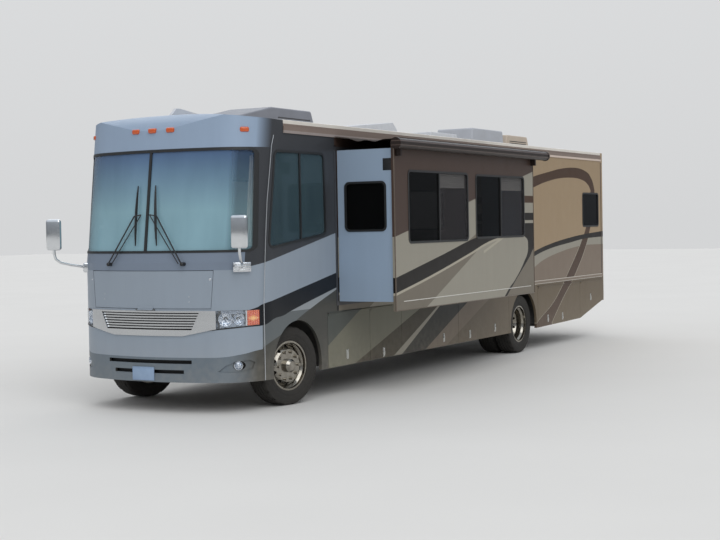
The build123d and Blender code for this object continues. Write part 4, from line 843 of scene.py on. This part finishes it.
cell_tone = lamp_chrome.node("ShaderNodeSeparateColor", {}, {"Color": cells}, "Red")
lamp_chrome.surface(
    lamp_chrome.mix(cell_tone, tone(120, 136, 156), tone(238, 242, 248)),
    0.14 + 0.16 * cell_tone, hollows, 0.004,
)
lamp_shell = plain("lamp_shell", tone(150, 164, 184), tone(196, 206, 220), 0.25, 0.5, 30, 0.0006)
amber = Finish("amber_lamp", {"Coat Weight": 0.5, "Coat Roughness": 0.04})
x, y, z = amber.place()
ribs = amber.waves("Y", 30.0)
# a pale painted highlight spot in the middle of the turn lamp's lens
painted_highlight_spot = amber.fade(abs(z - 1.10) + abs(abs(y) - 1.205), 0.045, 0.0)
lit_amber = amber.mix(ribs, tone(190, 50, 4), tone(226, 104, 12))
amber.surface(amber.mix(painted_highlight_spot, lit_amber, tone(255, 206, 120)), 0.16 + 0.1 * ribs, ribs, 0.0008)

nose_x = 1.28
bow_radius = 3.0
corner_radius = 0.65
corner_x = 0.5433
corner_y = 0.6325
lamp_z = 1.094
faces_front = -90


def nose_at(y, inset=0.0):
    """How far forward the nose reaches at a distance from its middle, below its lean."""
    corner_starts = corner_y * (bow_radius - inset) / (bow_radius - corner_radius)
    if abs(y) < corner_starts:
        return nose_x - bow_radius + math.sqrt((bow_radius - inset) ** 2 - y ** 2)
    return corner_x + math.sqrt(max((corner_radius - inset) ** 2 - (abs(y) - corner_y) ** 2, 0.0))


def part_way(start, end, share):
    """The place at a share of the way from one number to another."""
    return start + share * (end - start)


def shaped_sheet(columns, rows, spot_at, thickness):
    """A sheet whose place is a function of two shares, along and up, given a thickness."""
    bpy.ops.object.select_all(action="DESELECT")
    bpy.ops.mesh.primitive_grid_add(x_subdivisions=columns, y_subdivisions=rows, size=2)
    part = bpy.context.object
    for vertex in part.data.vertices:
        vertex.co = at(*spot_at((vertex.co.x + 1) / 2, (vertex.co.y + 1) / 2))
    thick = part.modifiers.new("thickness", "SOLIDIFY")
    thick.thickness = thickness
    bpy.ops.object.modifier_apply(modifier="thickness")
    return part


def bowed(side, span, low_edge, high_edge, inset, thickness, columns=16):
    """A panel that follows the nose, with straight lower and upper edges in front view."""

    def spot_at(aside, up):
        spot_y = side * part_way(*span, aside)
        foot = part_way(*low_edge, aside)
        head = part_way(*high_edge, aside)
        return nose_at(spot_y, inset), spot_y, part_way(foot, head, up)

    part = shaped_sheet(columns, 4, spot_at, thickness)
    with editing():
        bpy.ops.mesh.select_all(action="SELECT")
        bpy.ops.mesh.normals_make_consistent(inside=False)
    return part


# bowls: middle across the nose, radius, turn outwards, depth
lamp_bowls = [(0.985, 0.078, 33.4, 1.0776), (1.100, 0.066, 46.9, 0.9806)]
# trims: label, span outwards, lower and upper edge, inset, thickness, columns, slot, finish
lamp_trims = [
    ("turn_lamp", (1.168, 1.241), (1.016, 1.021), (1.191, 1.191), 0.006, 0.006, 10,
     "amber_lens", amber),
    # a black strip of painted shadow in the gap between lamp and bumper
    ("lamp_gap_shadow", (0.80, 1.243), (0.964, 1.007), (0.978, 1.021), -0.002, 0.004, 24,
     "black_trim", black_trim),
    ("lamp_divider", (1.158, 1.168), (1.014, 1.015), (1.192, 1.192), 0.003, 0.012, 3,
     "chrome", mirror_chrome),
]
covers = []
for side, name in sides:
    covers.append(bowed(side, (0.902, 1.242), (0.987, 1.020), (1.194, 1.194), 0.001, 0.003, 24))
    shell = bowed(side, (0.905, 1.165), (0.990, 1.014), (1.190, 1.190), 0.046, 0.004)
    fit(shell, f"lamp_shell_{name}", "coach", lamp_shell)
    cups = []
    for cup_y, radius, turn, cup_x in lamp_bowls:
        bowl = lathe([
            (-0.034, 0.003), (-0.033, 0.018), (-0.026, radius * 0.62), (-0.014, radius * 0.86),
            (0.0, radius), (0.002, radius + 0.003), (-0.003, radius + 0.005),
            (-0.020, radius * 0.9), (-0.036, 0.020), (-0.037, 0.003),
        ], 32, closed=True)
        bulb = lathe([
            (-0.034, 0.0), (-0.034, 0.009), (-0.012, 0.009), (-0.008, 0.005), (-0.0075, 0.0),
        ], 16)
        cup = joined([bowl, bulb])
        cups.append(put(cup, (cup_x, side * cup_y, lamp_z), faces_front + side * turn))
    fit(joined(cups), f"lamp_bowls_{name}", "coach", lamp_chrome)
    for label, span, low_edge, high_edge, inset, thickness, columns, slot, finish in lamp_trims:
        trim = bowed(side, span, low_edge, high_edge, inset, thickness, columns)
        fit(trim, f"{label}_{name}", "coach", finish)
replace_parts(fit(joined(covers), "headlamp_covers", "coach", lens), "front_lamps")

# Fog lamps: round clear lenses in bright rings, pressed into the eye-shaped recesses of
# the bumper and turned outwards with its corner.
fog_place = (0.986, 1.088, 0.560)
fog_turn = 32
fog_dome = [
    (-0.03, 0.0), (-0.03, 0.044), (0.002, 0.044), (0.008, 0.041), (0.014, 0.031),
    (0.017, 0.016), (0.0175, 0.0),
]
fog_ring = [
    (-0.03, 0.044), (0.004, 0.044), (0.008, 0.047), (0.007, 0.052), (0.0, 0.055), (-0.03, 0.055),
]
for side, name in sides:
    for label, outline, closed, slot, finish in (
        ("fog_lens", fog_dome, False, "lens", lamp_chrome),
        ("fog_ring", fog_ring, True, "chrome", mirror_chrome),
    ):
        part = lathe(outline, 32, closed)
        put(part, (fog_place[0], side * fog_place[1], fog_place[2]), faces_front + side * fog_turn)
        fit(part, f"{label}_{name}", "coach", finish)

# Grille: bright plated louvres in the air opening of the nose, with a dark mesh behind
# them and behind the slots of the bumper.
grille_chrome = plain(
    "grille_chrome", tone(206, 208, 210), tone(176, 178, 180), 0.14, 1.0, 5, 0.00002, (1, 0.2, 1),
)
dress(grille_chrome, "grille")
mesh_black = plain("dark_mesh", tone(16, 17, 18), tone(28, 28, 30), 0.6, 0.2, 90, 0.0008)
screens = [
    bowed(1, (-0.66, 0.66), (0.965, 0.965), (1.185, 1.185), 0.075, 0.004, 24),
    bowed(1, (-0.78, 0.78), (0.40, 0.40), (0.635, 0.635), 0.055, 0.004, 24),
]
fit(joined(screens), "air_screens", "coach", mesh_black)

# Hood fasteners: plated quarter-turn screws at the upper corners, one in the hood and one
# in the cap beside it, and two pairs of small studs lower down.
quarter_turn = 0.012
small_stud = 0.006
# body, height, distance from the middle, radius
stud_spots = [
    ("hood", 1.556, 0.839, quarter_turn), ("coach", 1.556, -0.907, quarter_turn),
    ("hood", 1.381, -0.66, small_stud), ("hood", 1.321, -0.66, small_stud),
    ("hood", 1.357, 0.585, small_stud), ("hood", 1.299, 0.585, small_stud),
]
studs = {"hood": [], "coach": []}
for body, stud_z, stud_y, radius in stud_spots:
    stud = lathe([
        (-0.006, 0.0), (-0.006, radius), (0.001, radius), (0.003, radius * 0.7), (0.0032, 0.0),
    ], 16)
    turn = math.degrees(stud_y / bow_radius)
    studs[body].append(put(stud, (nose_at(stud_y) + 0.001, stud_y, stud_z), faces_front + turn))
for body, made in studs.items():
    fit(joined(made), f"{body}_studs", body, mirror_chrome)

# The number plate: a bare sheet of pressed aluminium, painted pale blue, with a rolled
# edge, held to the bumper by two bolts.
plate_blue = plain("bare_plate", tone(150, 172, 198), tone(132, 154, 182), 0.42, 0.1, 20)
plate_y = (-0.203, 0.111)
plate_z = (0.384, 0.542)
edge_x = (1.288, 1.293)
edge_width = 0.006
bolt_z = (0.52, 0.532)
plate = [bar((1.286, plate_y[0], plate_z[0]), (1.290, plate_y[1], plate_z[1]), 0.0015)]
for foot_z in (plate_z[0], plate_z[1] - edge_width):
    plate.append(bar(
        (edge_x[0], plate_y[0], foot_z), (edge_x[1], plate_y[1], foot_z + edge_width),
    ))
for end_y in (plate_y[0], plate_y[1] - edge_width):
    plate.append(bar(
        (edge_x[0], end_y, plate_z[0]), (edge_x[1], end_y + edge_width, plate_z[1]),
    ))
for bolt_y in (-0.13, 0.026):
    plate.append(bar((1.24, bolt_y, bolt_z[0]), (1.294, bolt_y + 0.012, bolt_z[1])))
fit(joined(plate), "number_plate", "coach", plate_blue)

# Clearance lamps: five rounded amber lenses, pushed on to bases along the brow of the
# front cap, two of them on its corners and turned with them.
red_amber = plain(
    "clearance_lens", tone(206, 92, 36), tone(188, 76, 28), 0.2, 0.0, 90, 0.0006, coat=0.6,
)
clearance_size = (0.076, 0.108, 0.060)
clearance = []
for place, turn in (
    ((0.769, 1.089, 3.272), 44.6), ((0.769, -1.089, 3.272), -44.6),
    ((1.043, 0.25, 3.292), 4.8), ((1.043, -0.25, 3.292), -4.8), ((1.058, 0.0, 3.292), 0.0),
):
    clearance.append(put(block((0, 0, 0), clearance_size, 0.020, 5), place, turn))
clearance_lamps = fit(joined(clearance), "clearance_lamps", "coach", red_amber)
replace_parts(clearance_lamps, "marker_lamps")

# Wipers: black enamelled steel. From each pivot a stout arm and a thin one run side by
# side to a cross link, which carries an upright blade, sprung thick in its middle.
wiper_black = plain("wiper_black", tone(28, 28, 29), tone(42, 42, 43), 0.4, 0.1, 80)
lean_start = 1.75
lean_slope = 0.1375
pivot_y, pivot_z = 0.535, 1.735
blade_foot_z, blade_length = 1.95, 0.70
blade_steps = 8
blade_radius = 0.0135


def glass_x(height):
    """The front of the leaning glass near its middle."""
    return nose_x - (height - lean_start) * lean_slope


wiper_parts = []
for side, foot_y, head_y in ((1, 0.168, 0.104), (-1, -0.140, -0.152)):
    blade = []
    thickness = []
    for step in range(blade_steps + 1):
        height = blade_foot_z + blade_length * step / blade_steps
        lift = 0.030 - 0.016 * ((height - 2.30) / 0.35) ** 2
        spot_y = part_way(foot_y, head_y, step / blade_steps)
        blade.append((glass_x(height) + lift, spot_y, height))
        thickness.append(1 - 0.65 * (2 * step / blade_steps - 1) ** 2)
    waist = blade[blade_steps // 2]
    pivot = Vector((nose_x - 0.02, side * pivot_y, pivot_z))
    joint = Vector(waist) + Vector((0.004, 0, 0))
    link = [joint + Vector((0, side * 0.022, -0.006)), joint + Vector((0, -side * 0.080, 0.010))]
    hub = lathe([(-0.03, 0.0), (-0.03, 0.022), (0.03, 0.022), (0.036, 0.016), (0.037, 0.0)], 20)
    rubber_edge = [
        (px - lifted, py, pz)
        for (px, py, pz), lifted in ((blade[0], 0.006), (waist, 0.022), (blade[-1], 0.006))
    ]
    wiper_parts += [
        put(hub, pivot, faces_front),
        tube(link, 0.008, 8),
        tube([pivot + Vector((0.028, 0, 0)), link[0]], 0.0085, 8),
        tube([pivot + Vector((0.02, -side * 0.05, 0.005)), link[1]], 0.006, 8),
        tube(blade, blade_radius, 8, thickness),
        tube(rubber_edge, 0.0055, 8),
    ]
    for px, py, pz in blade[1:-1:2]:
        wiper_parts.append(bar(
            (glass_x(pz) + 0.006, py - 0.007, pz - 0.012),
            (glass_x(pz) + 0.028, py + 0.007, pz + 0.012), 0.002, 1,
        ))
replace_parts(fit(joined(wiper_parts), "wiper_set", "coach", wiper_black), "wipers")

# Mirrors: rounded chromed heads on bent tube arms from ribbed blocks, bolted to the cap
# beside the windshield, with the glass set in the rear face of each head.
glass_silver = plain(
    "mirror_glass", tone(196, 202, 208), tone(184, 190, 198), 0.1, 1.0, 4, 0.00002,
)
head_x, head_y, head_z = 1.302, 1.350, 2.095
head_size = (0.086, 0.216, 0.376)
arm_route = [
    (0.985, 1.165, 1.700), (1.10, 1.25, 1.725), (1.22, 1.315, 1.755), (1.28, 1.345, 1.80),
    (1.300, head_y, 1.86), (head_x, head_y, 1.93),
]
foot_place = (0.950, 1.130, 1.690)
foot_turn = 50.5
pane_half = 0.084
chromes = []
for side, name in sides:
    centre = at(head_x, side * head_y, head_z)
    head = block(centre, head_size, 0.036, 6)
    for vertex in head.data.vertices:
        spot = vertex.co - centre
        if spot.x < 0:
            vertex.co.x = centre.x + spot.x * 0.9
        else:
            swell = (1 - (spot.y / 0.12) ** 2) * (1 - (spot.z / 0.2) ** 2)
            vertex.co.x = centre.x + spot.x * (0.45 + 0.55 * max(swell, 0.0) ** 0.5)
    chromes.append(head)
    chromes.append(tube([(px, side * py, pz) for px, py, pz in arm_route], 0.017, 16))
    foot_parts = [block((0, 0, 0), (0.100, 0.214, 0.115), 0.012, 3)]
    for rib_z in (-0.034, -0.012, 0.012, 0.034):
        foot_parts.append(block((0.043, 0, rib_z), (0.026, 0.196, 0.012), 0.003, 2))
    foot_x, foot_y, foot_z = foot_place
    chromes.append(put(joined(foot_parts), (foot_x, side * foot_y, foot_z), side * foot_turn))
    pane = bar(
        (1.2605, side * head_y - pane_half, 1.945), (1.2645, side * head_y + pane_half, 2.245),
        0.0015,
    )
    fit(pane, f"mirror_pane_{name}", "coach", glass_silver)
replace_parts(fit(joined(chromes), "mirror_heads", "coach", mirror_chrome), "mirrors")

# Rear lamps: red moulded lenses let into the rear cap, clear-coated, and a little uneven in tone.
red_lens = plain(
    "red_lamp", tone(168, 26, 22), tone(140, 18, 18), 0.2, 0.0, 80, 0.0004, coat=1.0,
)
dress(red_lens, "rear_lamps")

# Inside the cab: a vinyl plank floor, a moulded dashboard, and two captain's chairs of
# stuffed and sewn cloth cushions on steel frames. The storage bays below are lined in
# dark sheet.
dash_grey = plain("dash_grey", tone(92, 88, 82), tone(76, 72, 68), 0.6, 0.0, 60, 0.0006)
dress(dash_grey, "dashboard")
floor_vinyl = Finish("floor_vinyl", {})
x, y, z = floor_vinyl.place()
planks = floor_vinyl.noise(8, 4, (1, 4, 1))
boards = floor_vinyl.mix(planks, tone(150, 134, 112), tone(126, 110, 92))
bulkhead = (x > 0.7) & (z > 0.9)
floor_vinyl.surface(
    floor_vinyl.mix(bulkhead, boards, tone(52, 52, 52)), 0.42 + 0.16 * planks, planks, 0.0004,
)
dress(floor_vinyl, "cabin_floor")
bay_liner = plain("bay_liner", tone(60, 60, 60), tone(78, 76, 72), 0.7, 0.0, 24, 0.0006)
dress(bay_liner, "basement")
seat_cloth = plain("seat_cloth", tone(150, 140, 124), tone(132, 122, 106), 0.85, 0.0, 160, 0.0012)


def cushion(size, place, lean, crown):
    """A stuffed block with crowned faces and drawn-in edges, leaned about the y axis."""
    bpy.ops.object.select_all(action="DESELECT")
    bpy.ops.mesh.primitive_cube_add(size=2)
    part = bpy.context.object
    with editing():
        bpy.ops.mesh.subdivide(number_cuts=9)
    for vertex in part.data.vertices:
        spot = vertex.co.copy()
        fullness = [1 - spot[axis] ** 2 for axis in range(3)]
        for axis in range(3):
            first, second = (axis + 1) % 3, (axis + 2) % 3
            swell = 0.4 + 0.6 * (fullness[first] * fullness[second]) ** 0.5
            round_in = 0.30 * crown * (spot[first] ** 6 + spot[second] ** 6)
            vertex.co[axis] = spot[axis] * (size[axis] / 2 - crown + crown * swell - round_in)
    smooth = part.modifiers.new("smooth", "SUBSURF")
    smooth.levels = 1
    smooth.render_levels = 1
    bpy.ops.object.modifier_apply(modifier="smooth")
    part.data.transform(Matrix.Rotation(math.radians(lean), 4, "Y"))
    return put(part, place)


seat_y = 0.640
armrest_out = 0.215
# label, size, how far forward, outwards from the seat's middle, height, lean, crown
chair = [
    ("seat", (0.54, 0.46, 0.13), 0.005, 0.0, 1.515, -1.5, 0.018),
    ("back", (0.13, 0.46, 0.60), -0.262, 0.0, 1.880, -9.5, 0.018),
    ("headrest", (0.10, 0.30, 0.19), -0.330, 0.0, 2.235, -9.5, 0.018),
    ("armrest_in", (0.34, 0.055, 0.07), -0.05, -armrest_out, 1.62, 0.0, 0.008),
    ("armrest_out", (0.34, 0.055, 0.07), -0.05, armrest_out, 1.62, 0.0, 0.008),
]
for side, name in ((1, "driver"), (-1, "passenger")):
    for label, size, forward, outward, height, lean, crown in chair:
        part = cushion(size, (forward, side * (seat_y + outward), height), lean, crown)
        fit(part, f"{name}_{label}", "coach", seat_cloth, 70)
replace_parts(bpy.data.objects["driver_seat"], "cab_seats")

# The cab curtain: woven cloth, gathered in pleats on its track at the driver's end of the
# windshield, where it hangs along the leaning glass.
curtain_cloth = plain(
    "curtain_cloth", tone(206, 198, 184), tone(186, 178, 164), 0.85, 0.0, 180, 0.0008,
)
pleats = 7
pleat_depth = 0.018
foot_narrows = 0.25
track_start, track_end = (0.79, 1.08), (0.62, 1.19)
curtain_low, curtain_high = 1.93, 2.98


def curtain_spot(along, up):
    """A spot of the pleated cloth; the pleats lie across the track and narrow upwards."""
    wave = pleat_depth * math.sin(along * pleats * math.tau) * (1.0 - foot_narrows * up)
    rise = up * (curtain_high - curtain_low)
    return (
        part_way(track_start[0], track_end[0], along) + wave * 0.55 - rise * lean_slope,
        part_way(track_start[1], track_end[1], along) + wave * 0.84,
        curtain_low + rise,
    )


curtain = shaped_sheet(96, 20, curtain_spot, 0.0015)
steps = 400
for step in range(steps):
    turn = (step + 0.5) / steps * pleats * math.tau
    slope = pleat_depth * (1.0 - foot_narrows / 2) * pleats * math.tau * math.cos(turn)
fit(curtain, "cab_curtain", "coach", curtain_cloth, 70)

# Roof equipment: moulded plastic air conditioner shrouds with louvres in their sides,
# vent lids and the aerial fin, screwed down to the roof.
unit_plastic = Finish("unit_plastic", {"Specular IOR Level": 0.4})
x, y, z = unit_plastic.place()
grime = unit_plastic.noise(5, 5)
shell_tone = unit_plastic.layered(
    tone(192, 180, 166),
    (x > -4.0, tone(132, 136, 146)),
    ((x > -8.53) & (x < -4.0), tone(176, 181, 190)),
)
unit_plastic.surface(
    unit_plastic.shade(shell_tone, grime * 0.4, tone(190, 184, 176)),
    0.42 + 0.16 * grime, unit_plastic.noise(150, 2), 0.0004,
)
dress(unit_plastic, "roof_units")
white_plastic = plain(
    "white_plastic", tone(204, 208, 214), tone(184, 188, 194), 0.45, 0.0, 12, 0.0005,
)
dress(white_plastic, "roof_fittings")
vent_dark = plain("vent_dark", tone(54, 54, 56), tone(70, 70, 70), 0.6, 0.0, 60, 0.0004)
unit_side_y = (0.322, 0.3335)
louvre_pitch = 0.034
louvre_height = 0.014
louvres = []
for side, name in sides:
    near, far = sorted(side * edge for edge in unit_side_y)
    for rear_x, front_x, lowest_z in ((-1.95, -1.15, 3.455), (-9.50, -8.75, 3.475)):
        for step in range(4):
            foot_z = lowest_z + step * louvre_pitch
            louvres.append(bar(
                (rear_x, near, foot_z), (front_x, far, foot_z + louvre_height), 0.002, 1,
            ))
fit(joined(louvres), "unit_louvres", "coach", vent_dark)

# The slide-out room's trims: a bright line over its lower edge, aluminium strips along
# its corners, and a louvred black vent at the top of its front end, all glued on.
pale_trim = plain("pale_trim", tone(224, 222, 216), tone(204, 202, 196), 0.3, 0.1, 20)
corner_aluminium = plain(
    "corner_aluminium", tone(124, 112, 100), tone(104, 92, 82), 0.35, 0.4, 30,
)
room_face_y = 2.1155
room_proud_y = room_face_y + 0.004
room_end_x = -0.986
bright_line = bar((-5.30, room_face_y - 0.003, 1.181), (-1.17, room_proud_y, 1.190), 0.0015)
fit(bright_line, "slide_bright_line", "slide_out", pale_trim)
corner_strips = [
    bar((-0.969, room_face_y - 0.010, 1.075), (-0.962, room_proud_y, 3.100)),
    bar((-5.445, room_face_y - 0.010, 1.075), (-5.438, room_proud_y, 3.100)),
    bar((-5.440, room_face_y - 0.002, 1.071), (-0.967, room_proud_y, 1.079)),
]
fit(joined(corner_strips), "slide_corner_strips", "slide_out", corner_aluminium)
vent = [bar((room_end_x - 0.002, 1.950, 2.813), (room_end_x + 0.0025, 2.108, 2.962), 0.001)]
for step in range(6):
    foot_z = 2.828 + step * 0.023
    vent.append(bar(
        (room_end_x, 1.962, foot_z), (room_end_x + 0.0045, 2.098, foot_z + 0.009), 0.001, 1,
    ))
fit(joined(vent), "slide_vent", "slide_out", black_trim)

# Roller blinds: pale slats drawn part way down behind the slide-out room's rear panes,
# under the head rails that they roll up into.
blind_cloth = plain(
    "blind_cloth", tone(214, 212, 206), tone(190, 188, 182), 0.7, 0.0, 120, 0.0004,
)
slat_pitch = 0.026
slat_height = 0.023
for name, front_x, rear_x, top_z in (("first", -2.26, -3.07, 2.80), ("second", -4.25, -5.05, 2.79)):
    slats = []
    for step in range(7):
        foot_z = top_z - 0.03 - step * slat_pitch
        slats.append(bar((rear_x, 2.074, foot_z), (front_x, 2.080, foot_z + slat_height), 0.002, 1))
    slats.append(bar((rear_x, 2.066, top_z - 0.006), (front_x, 2.084, top_z + 0.02), 0.003))
    fit(joined(slats), f"blind_{name}", "slide_out", blind_cloth)

# The topper awning: cloth from a rail on the roof edge to a sprung roller on the slide-out.
# The cloth sags between the two, and its free edges flutter.
roller = Finish("roller_taupe", {"Specular IOR Level": 0.25})
x, y, z = roller.place()
# the upper light line along the tube is a painted highlight, the lower one a thin rail line
highlight_and_rail_lines = (abs(z - 3.165) < 0.004) | (abs(z - 3.112) < 0.003)
ground = roller.mix(roller.noise(24, 3), tone(46, 36, 32), tone(36, 28, 25))
roller.surface(
    roller.mix(highlight_and_rail_lines, ground, tone(96, 82, 76)), 0.34 + 0.14 * roller.noise(10, 3),
    roller.noise(90, 2), 0.0002,
)
dress(roller, "topper_tube")
awning_cloth = Finish("awning_cloth", {"Specular IOR Level": 0.2})
weave = 0.5 * awning_cloth.waves("X", 90.0) + 0.5 * awning_cloth.waves("Y", 90.0)
cloud = awning_cloth.noise(3, 4)
cloth_tone = awning_cloth.mix(cloud, tone(70, 62, 58), tone(56, 49, 45))
awning_cloth.surface(
    awning_cloth.shade(cloth_tone, weave * 0.5, tone(190, 186, 180)),
    0.78 + 0.14 * cloud, weave, 0.0004,
)
rail_y, rail_z = 1.296, 3.262
roll_y, roll_z = 2.190, 3.2095
cloth_front, cloth_rear = -0.945, -5.705
sag = 0.028
edge_drop = 0.020
edge_reach = 0.10


def topper_spot(along, out):
    """A spot of the stretched cloth, which sags in its middle and ripples at its free ends."""
    spot_x = part_way(cloth_rear, cloth_front, along)
    free = math.sin(math.pi * out)
    flutter = 0.0
    for edge_x in (cloth_front, cloth_rear):
        near = math.exp(-abs(spot_x - edge_x) / edge_reach)
        flutter += near * (edge_drop * free + 0.012 * free * math.sin(out * 22))
    ripple = 0.0035 * math.sin(spot_x * 9.0 + 2.0 * out) + 0.002 * math.sin(spot_x * 23.0)
    height = part_way(rail_z, roll_z, out) - (sag - ripple) * free - flutter
    return spot_x, part_way(rail_y, roll_y, out), height


cloth = shaped_sheet(120, 24, topper_spot, 0.0012)
finished(cloth, "topper_cloth", awning_cloth, 60)
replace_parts(cloth, "topper_fabric")
tuple(at(-3.3, rail_y, rail_z))
tuple(at(-3.3, roll_y, rail_z))
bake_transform(cloth)

# Latches of the storage doors: bright paddle locks in shallow pans along each lower edge,
# riveted to the door. Each is a pan, a paddle and a lock barrel over it.
latch_steel = plain("latch_steel", tone(208, 208, 204), tone(178, 178, 174), 0.28, 0.7, 40)
latch_spots = {
    "bay_door_left_1": [(-1.184, 0.504)],
    "bay_door_left_2": [(-2.163, 0.443)],
    "bay_door_left_3": [(-4.00, 0.487)],
    "bay_door_left_4": [(-4.90, 0.471), (-5.83, 0.501)],
    "bay_door_left_5": [(-8.065, 0.495), (-8.747, 0.492)],
    "bay_door_left_6": [(-10.18, 0.747)],
    "bay_door_right_1": [(-2.20, 0.480), (-3.70, 0.480)],
    "bay_door_right_2": [(-4.90, 0.471), (-5.83, 0.501)],
    "bay_door_right_3": [(-8.065, 0.495), (-8.747, 0.492)],
    "bay_door_right_4": [(-10.18, 0.747)],
}
# half width, foot and head over the latch's middle, how proud it stands
latch_layers = [
    (0.026, -0.062, 0.062, 0.003), (0.018, -0.048, 0.026, 0.010), (0.012, 0.034, 0.054, 0.007),
]
for door, spots in latch_spots.items():
    side = 1 if "left" in door else -1
    made = []
    for latch_x, latch_z in spots:
        for half_width, foot, head, proud in latch_layers:
            near, far = sorted((side * (wall_y - 0.002), side * (wall_y + proud)))
            made.append(bar(
                (latch_x - half_width, near, latch_z + foot),
                (latch_x + half_width, far, latch_z + head),
            ))
    fit(joined(made), f"{door}_latches", door, latch_steel)

# Entry door furniture on the right: a black lever handle on its escutcheon, screwed to the
# door, and a plated tube grab rail beside it, bent in to the wall at both ends.
handle = [
    bar((-1.455, -wall_y - 0.006, 1.33), (-1.365, -wall_y + 0.002, 1.52), 0.004),
    bar((-1.440, -wall_y - 0.030, 1.44), (-1.380, -wall_y - 0.004, 1.475), 0.006),
]
fit(joined(handle), "entry_handle", "entry", black_trim)
grab_x = -0.700
grab_route = [
    (-0.01, 1.25), (0.045, 1.27), (0.050, 1.32), (0.050, 1.93), (0.045, 1.98), (-0.01, 2.0),
]
grab = tube([(grab_x, -wall_y - proud, height) for proud, height in grab_route], 0.014, 16)
fit(grab, "grab_rail", "coach", mirror_chrome)

# The patio awning: the same woven cloth as the topper, rolled up on its tube and held
# against the right wall by its folded arms.
dress(awning_cloth, "patio_awning")

# The floor, the backdrop and the light: a plain pale studio. The walls light the object
# evenly, look pale to the camera, and are darker low down for whatever mirrors them.
floor_finish = Finish("studio_floor", {"Specular IOR Level": 0.1})
floor_finish.surface(
    floor_finish.mix(floor_finish.noise(0.4, 3), tone(222, 222, 220), tone(216, 216, 214)),
    0.85 + 0.1 * floor_finish.noise(2, 3),
)
bpy.ops.object.select_all(action="DESELECT")
bpy.ops.mesh.primitive_plane_add(size=160, location=(0, 0, 0))
floor = bpy.context.object
floor.name = "studio_floor"
floor.data.materials.append(floor_finish.material)

world = bpy.data.worlds.new("studio")
bpy.context.scene.world = world
world.use_nodes = True
world.node_tree.nodes.clear()
studio = Nodes(world.node_tree)
outlook = studio.node("ShaderNodeTexCoord", {}, {}, "Generated")
height = studio.node("ShaderNodeSeparateXYZ", {}, {"Vector": outlook}, "Z")


def backdrop(low_tone, high_tone, strength):
    """Studio walls that pass from one tone at the floor to another overhead."""
    stops = {"stops": [(0.0, low_tone), (0.6, high_tone)]}
    fade = studio.node("ShaderNodeValToRGB", stops, {"Fac": height}, "Color")
    return studio.node("ShaderNodeBackground", {}, {"Color": fade, "Strength": strength})


def rays(kind):
    """1 for one kind of ray, and 0 for all others."""
    return studio.node("ShaderNodeLightPath", {}, {}, f"Is {kind} Ray")


lit = backdrop(tone(242, 243, 246), tone(242, 243, 246), 0.72)
seen = backdrop(tone(212, 213, 214), tone(232, 234, 236), 1.0)
mirrored = backdrop(tone(104, 108, 112), tone(226, 234, 244), 1.0)
walls = studio.node("ShaderNodeMixShader", {}, {0: rays("Glossy"), 1: lit, 2: mirrored})
directly = rays("Camera") | rays("Transmission")
walls = studio.node("ShaderNodeMixShader", {}, {0: directly, 1: walls, 2: seen})
sky = world.node_tree.nodes.new("ShaderNodeOutputWorld")
world.node_tree.links.new(walls.socket, sky.inputs["Surface"])


def sun(name, heading_degrees, height_degrees, power, spread):
    """A broad soft light from far away, given by where it stands round the motorhome."""
    bpy.ops.object.light_add(type="SUN")
    made = bpy.context.object
    made.name = name
    made.data.energy = power
    made.data.angle = math.radians(spread)
    around = math.radians(heading_degrees)
    up = math.radians(height_degrees)
    away = Vector((math.cos(around) * math.cos(up), math.sin(around) * math.cos(up), math.sin(up)))
    made.rotation_euler = (-away).to_track_quat("-Z", "Y").to_euler()


sun("key_light", 48, 42, 1.15, 50)
sun("fill_light", -150, 40, 0.6, 60)
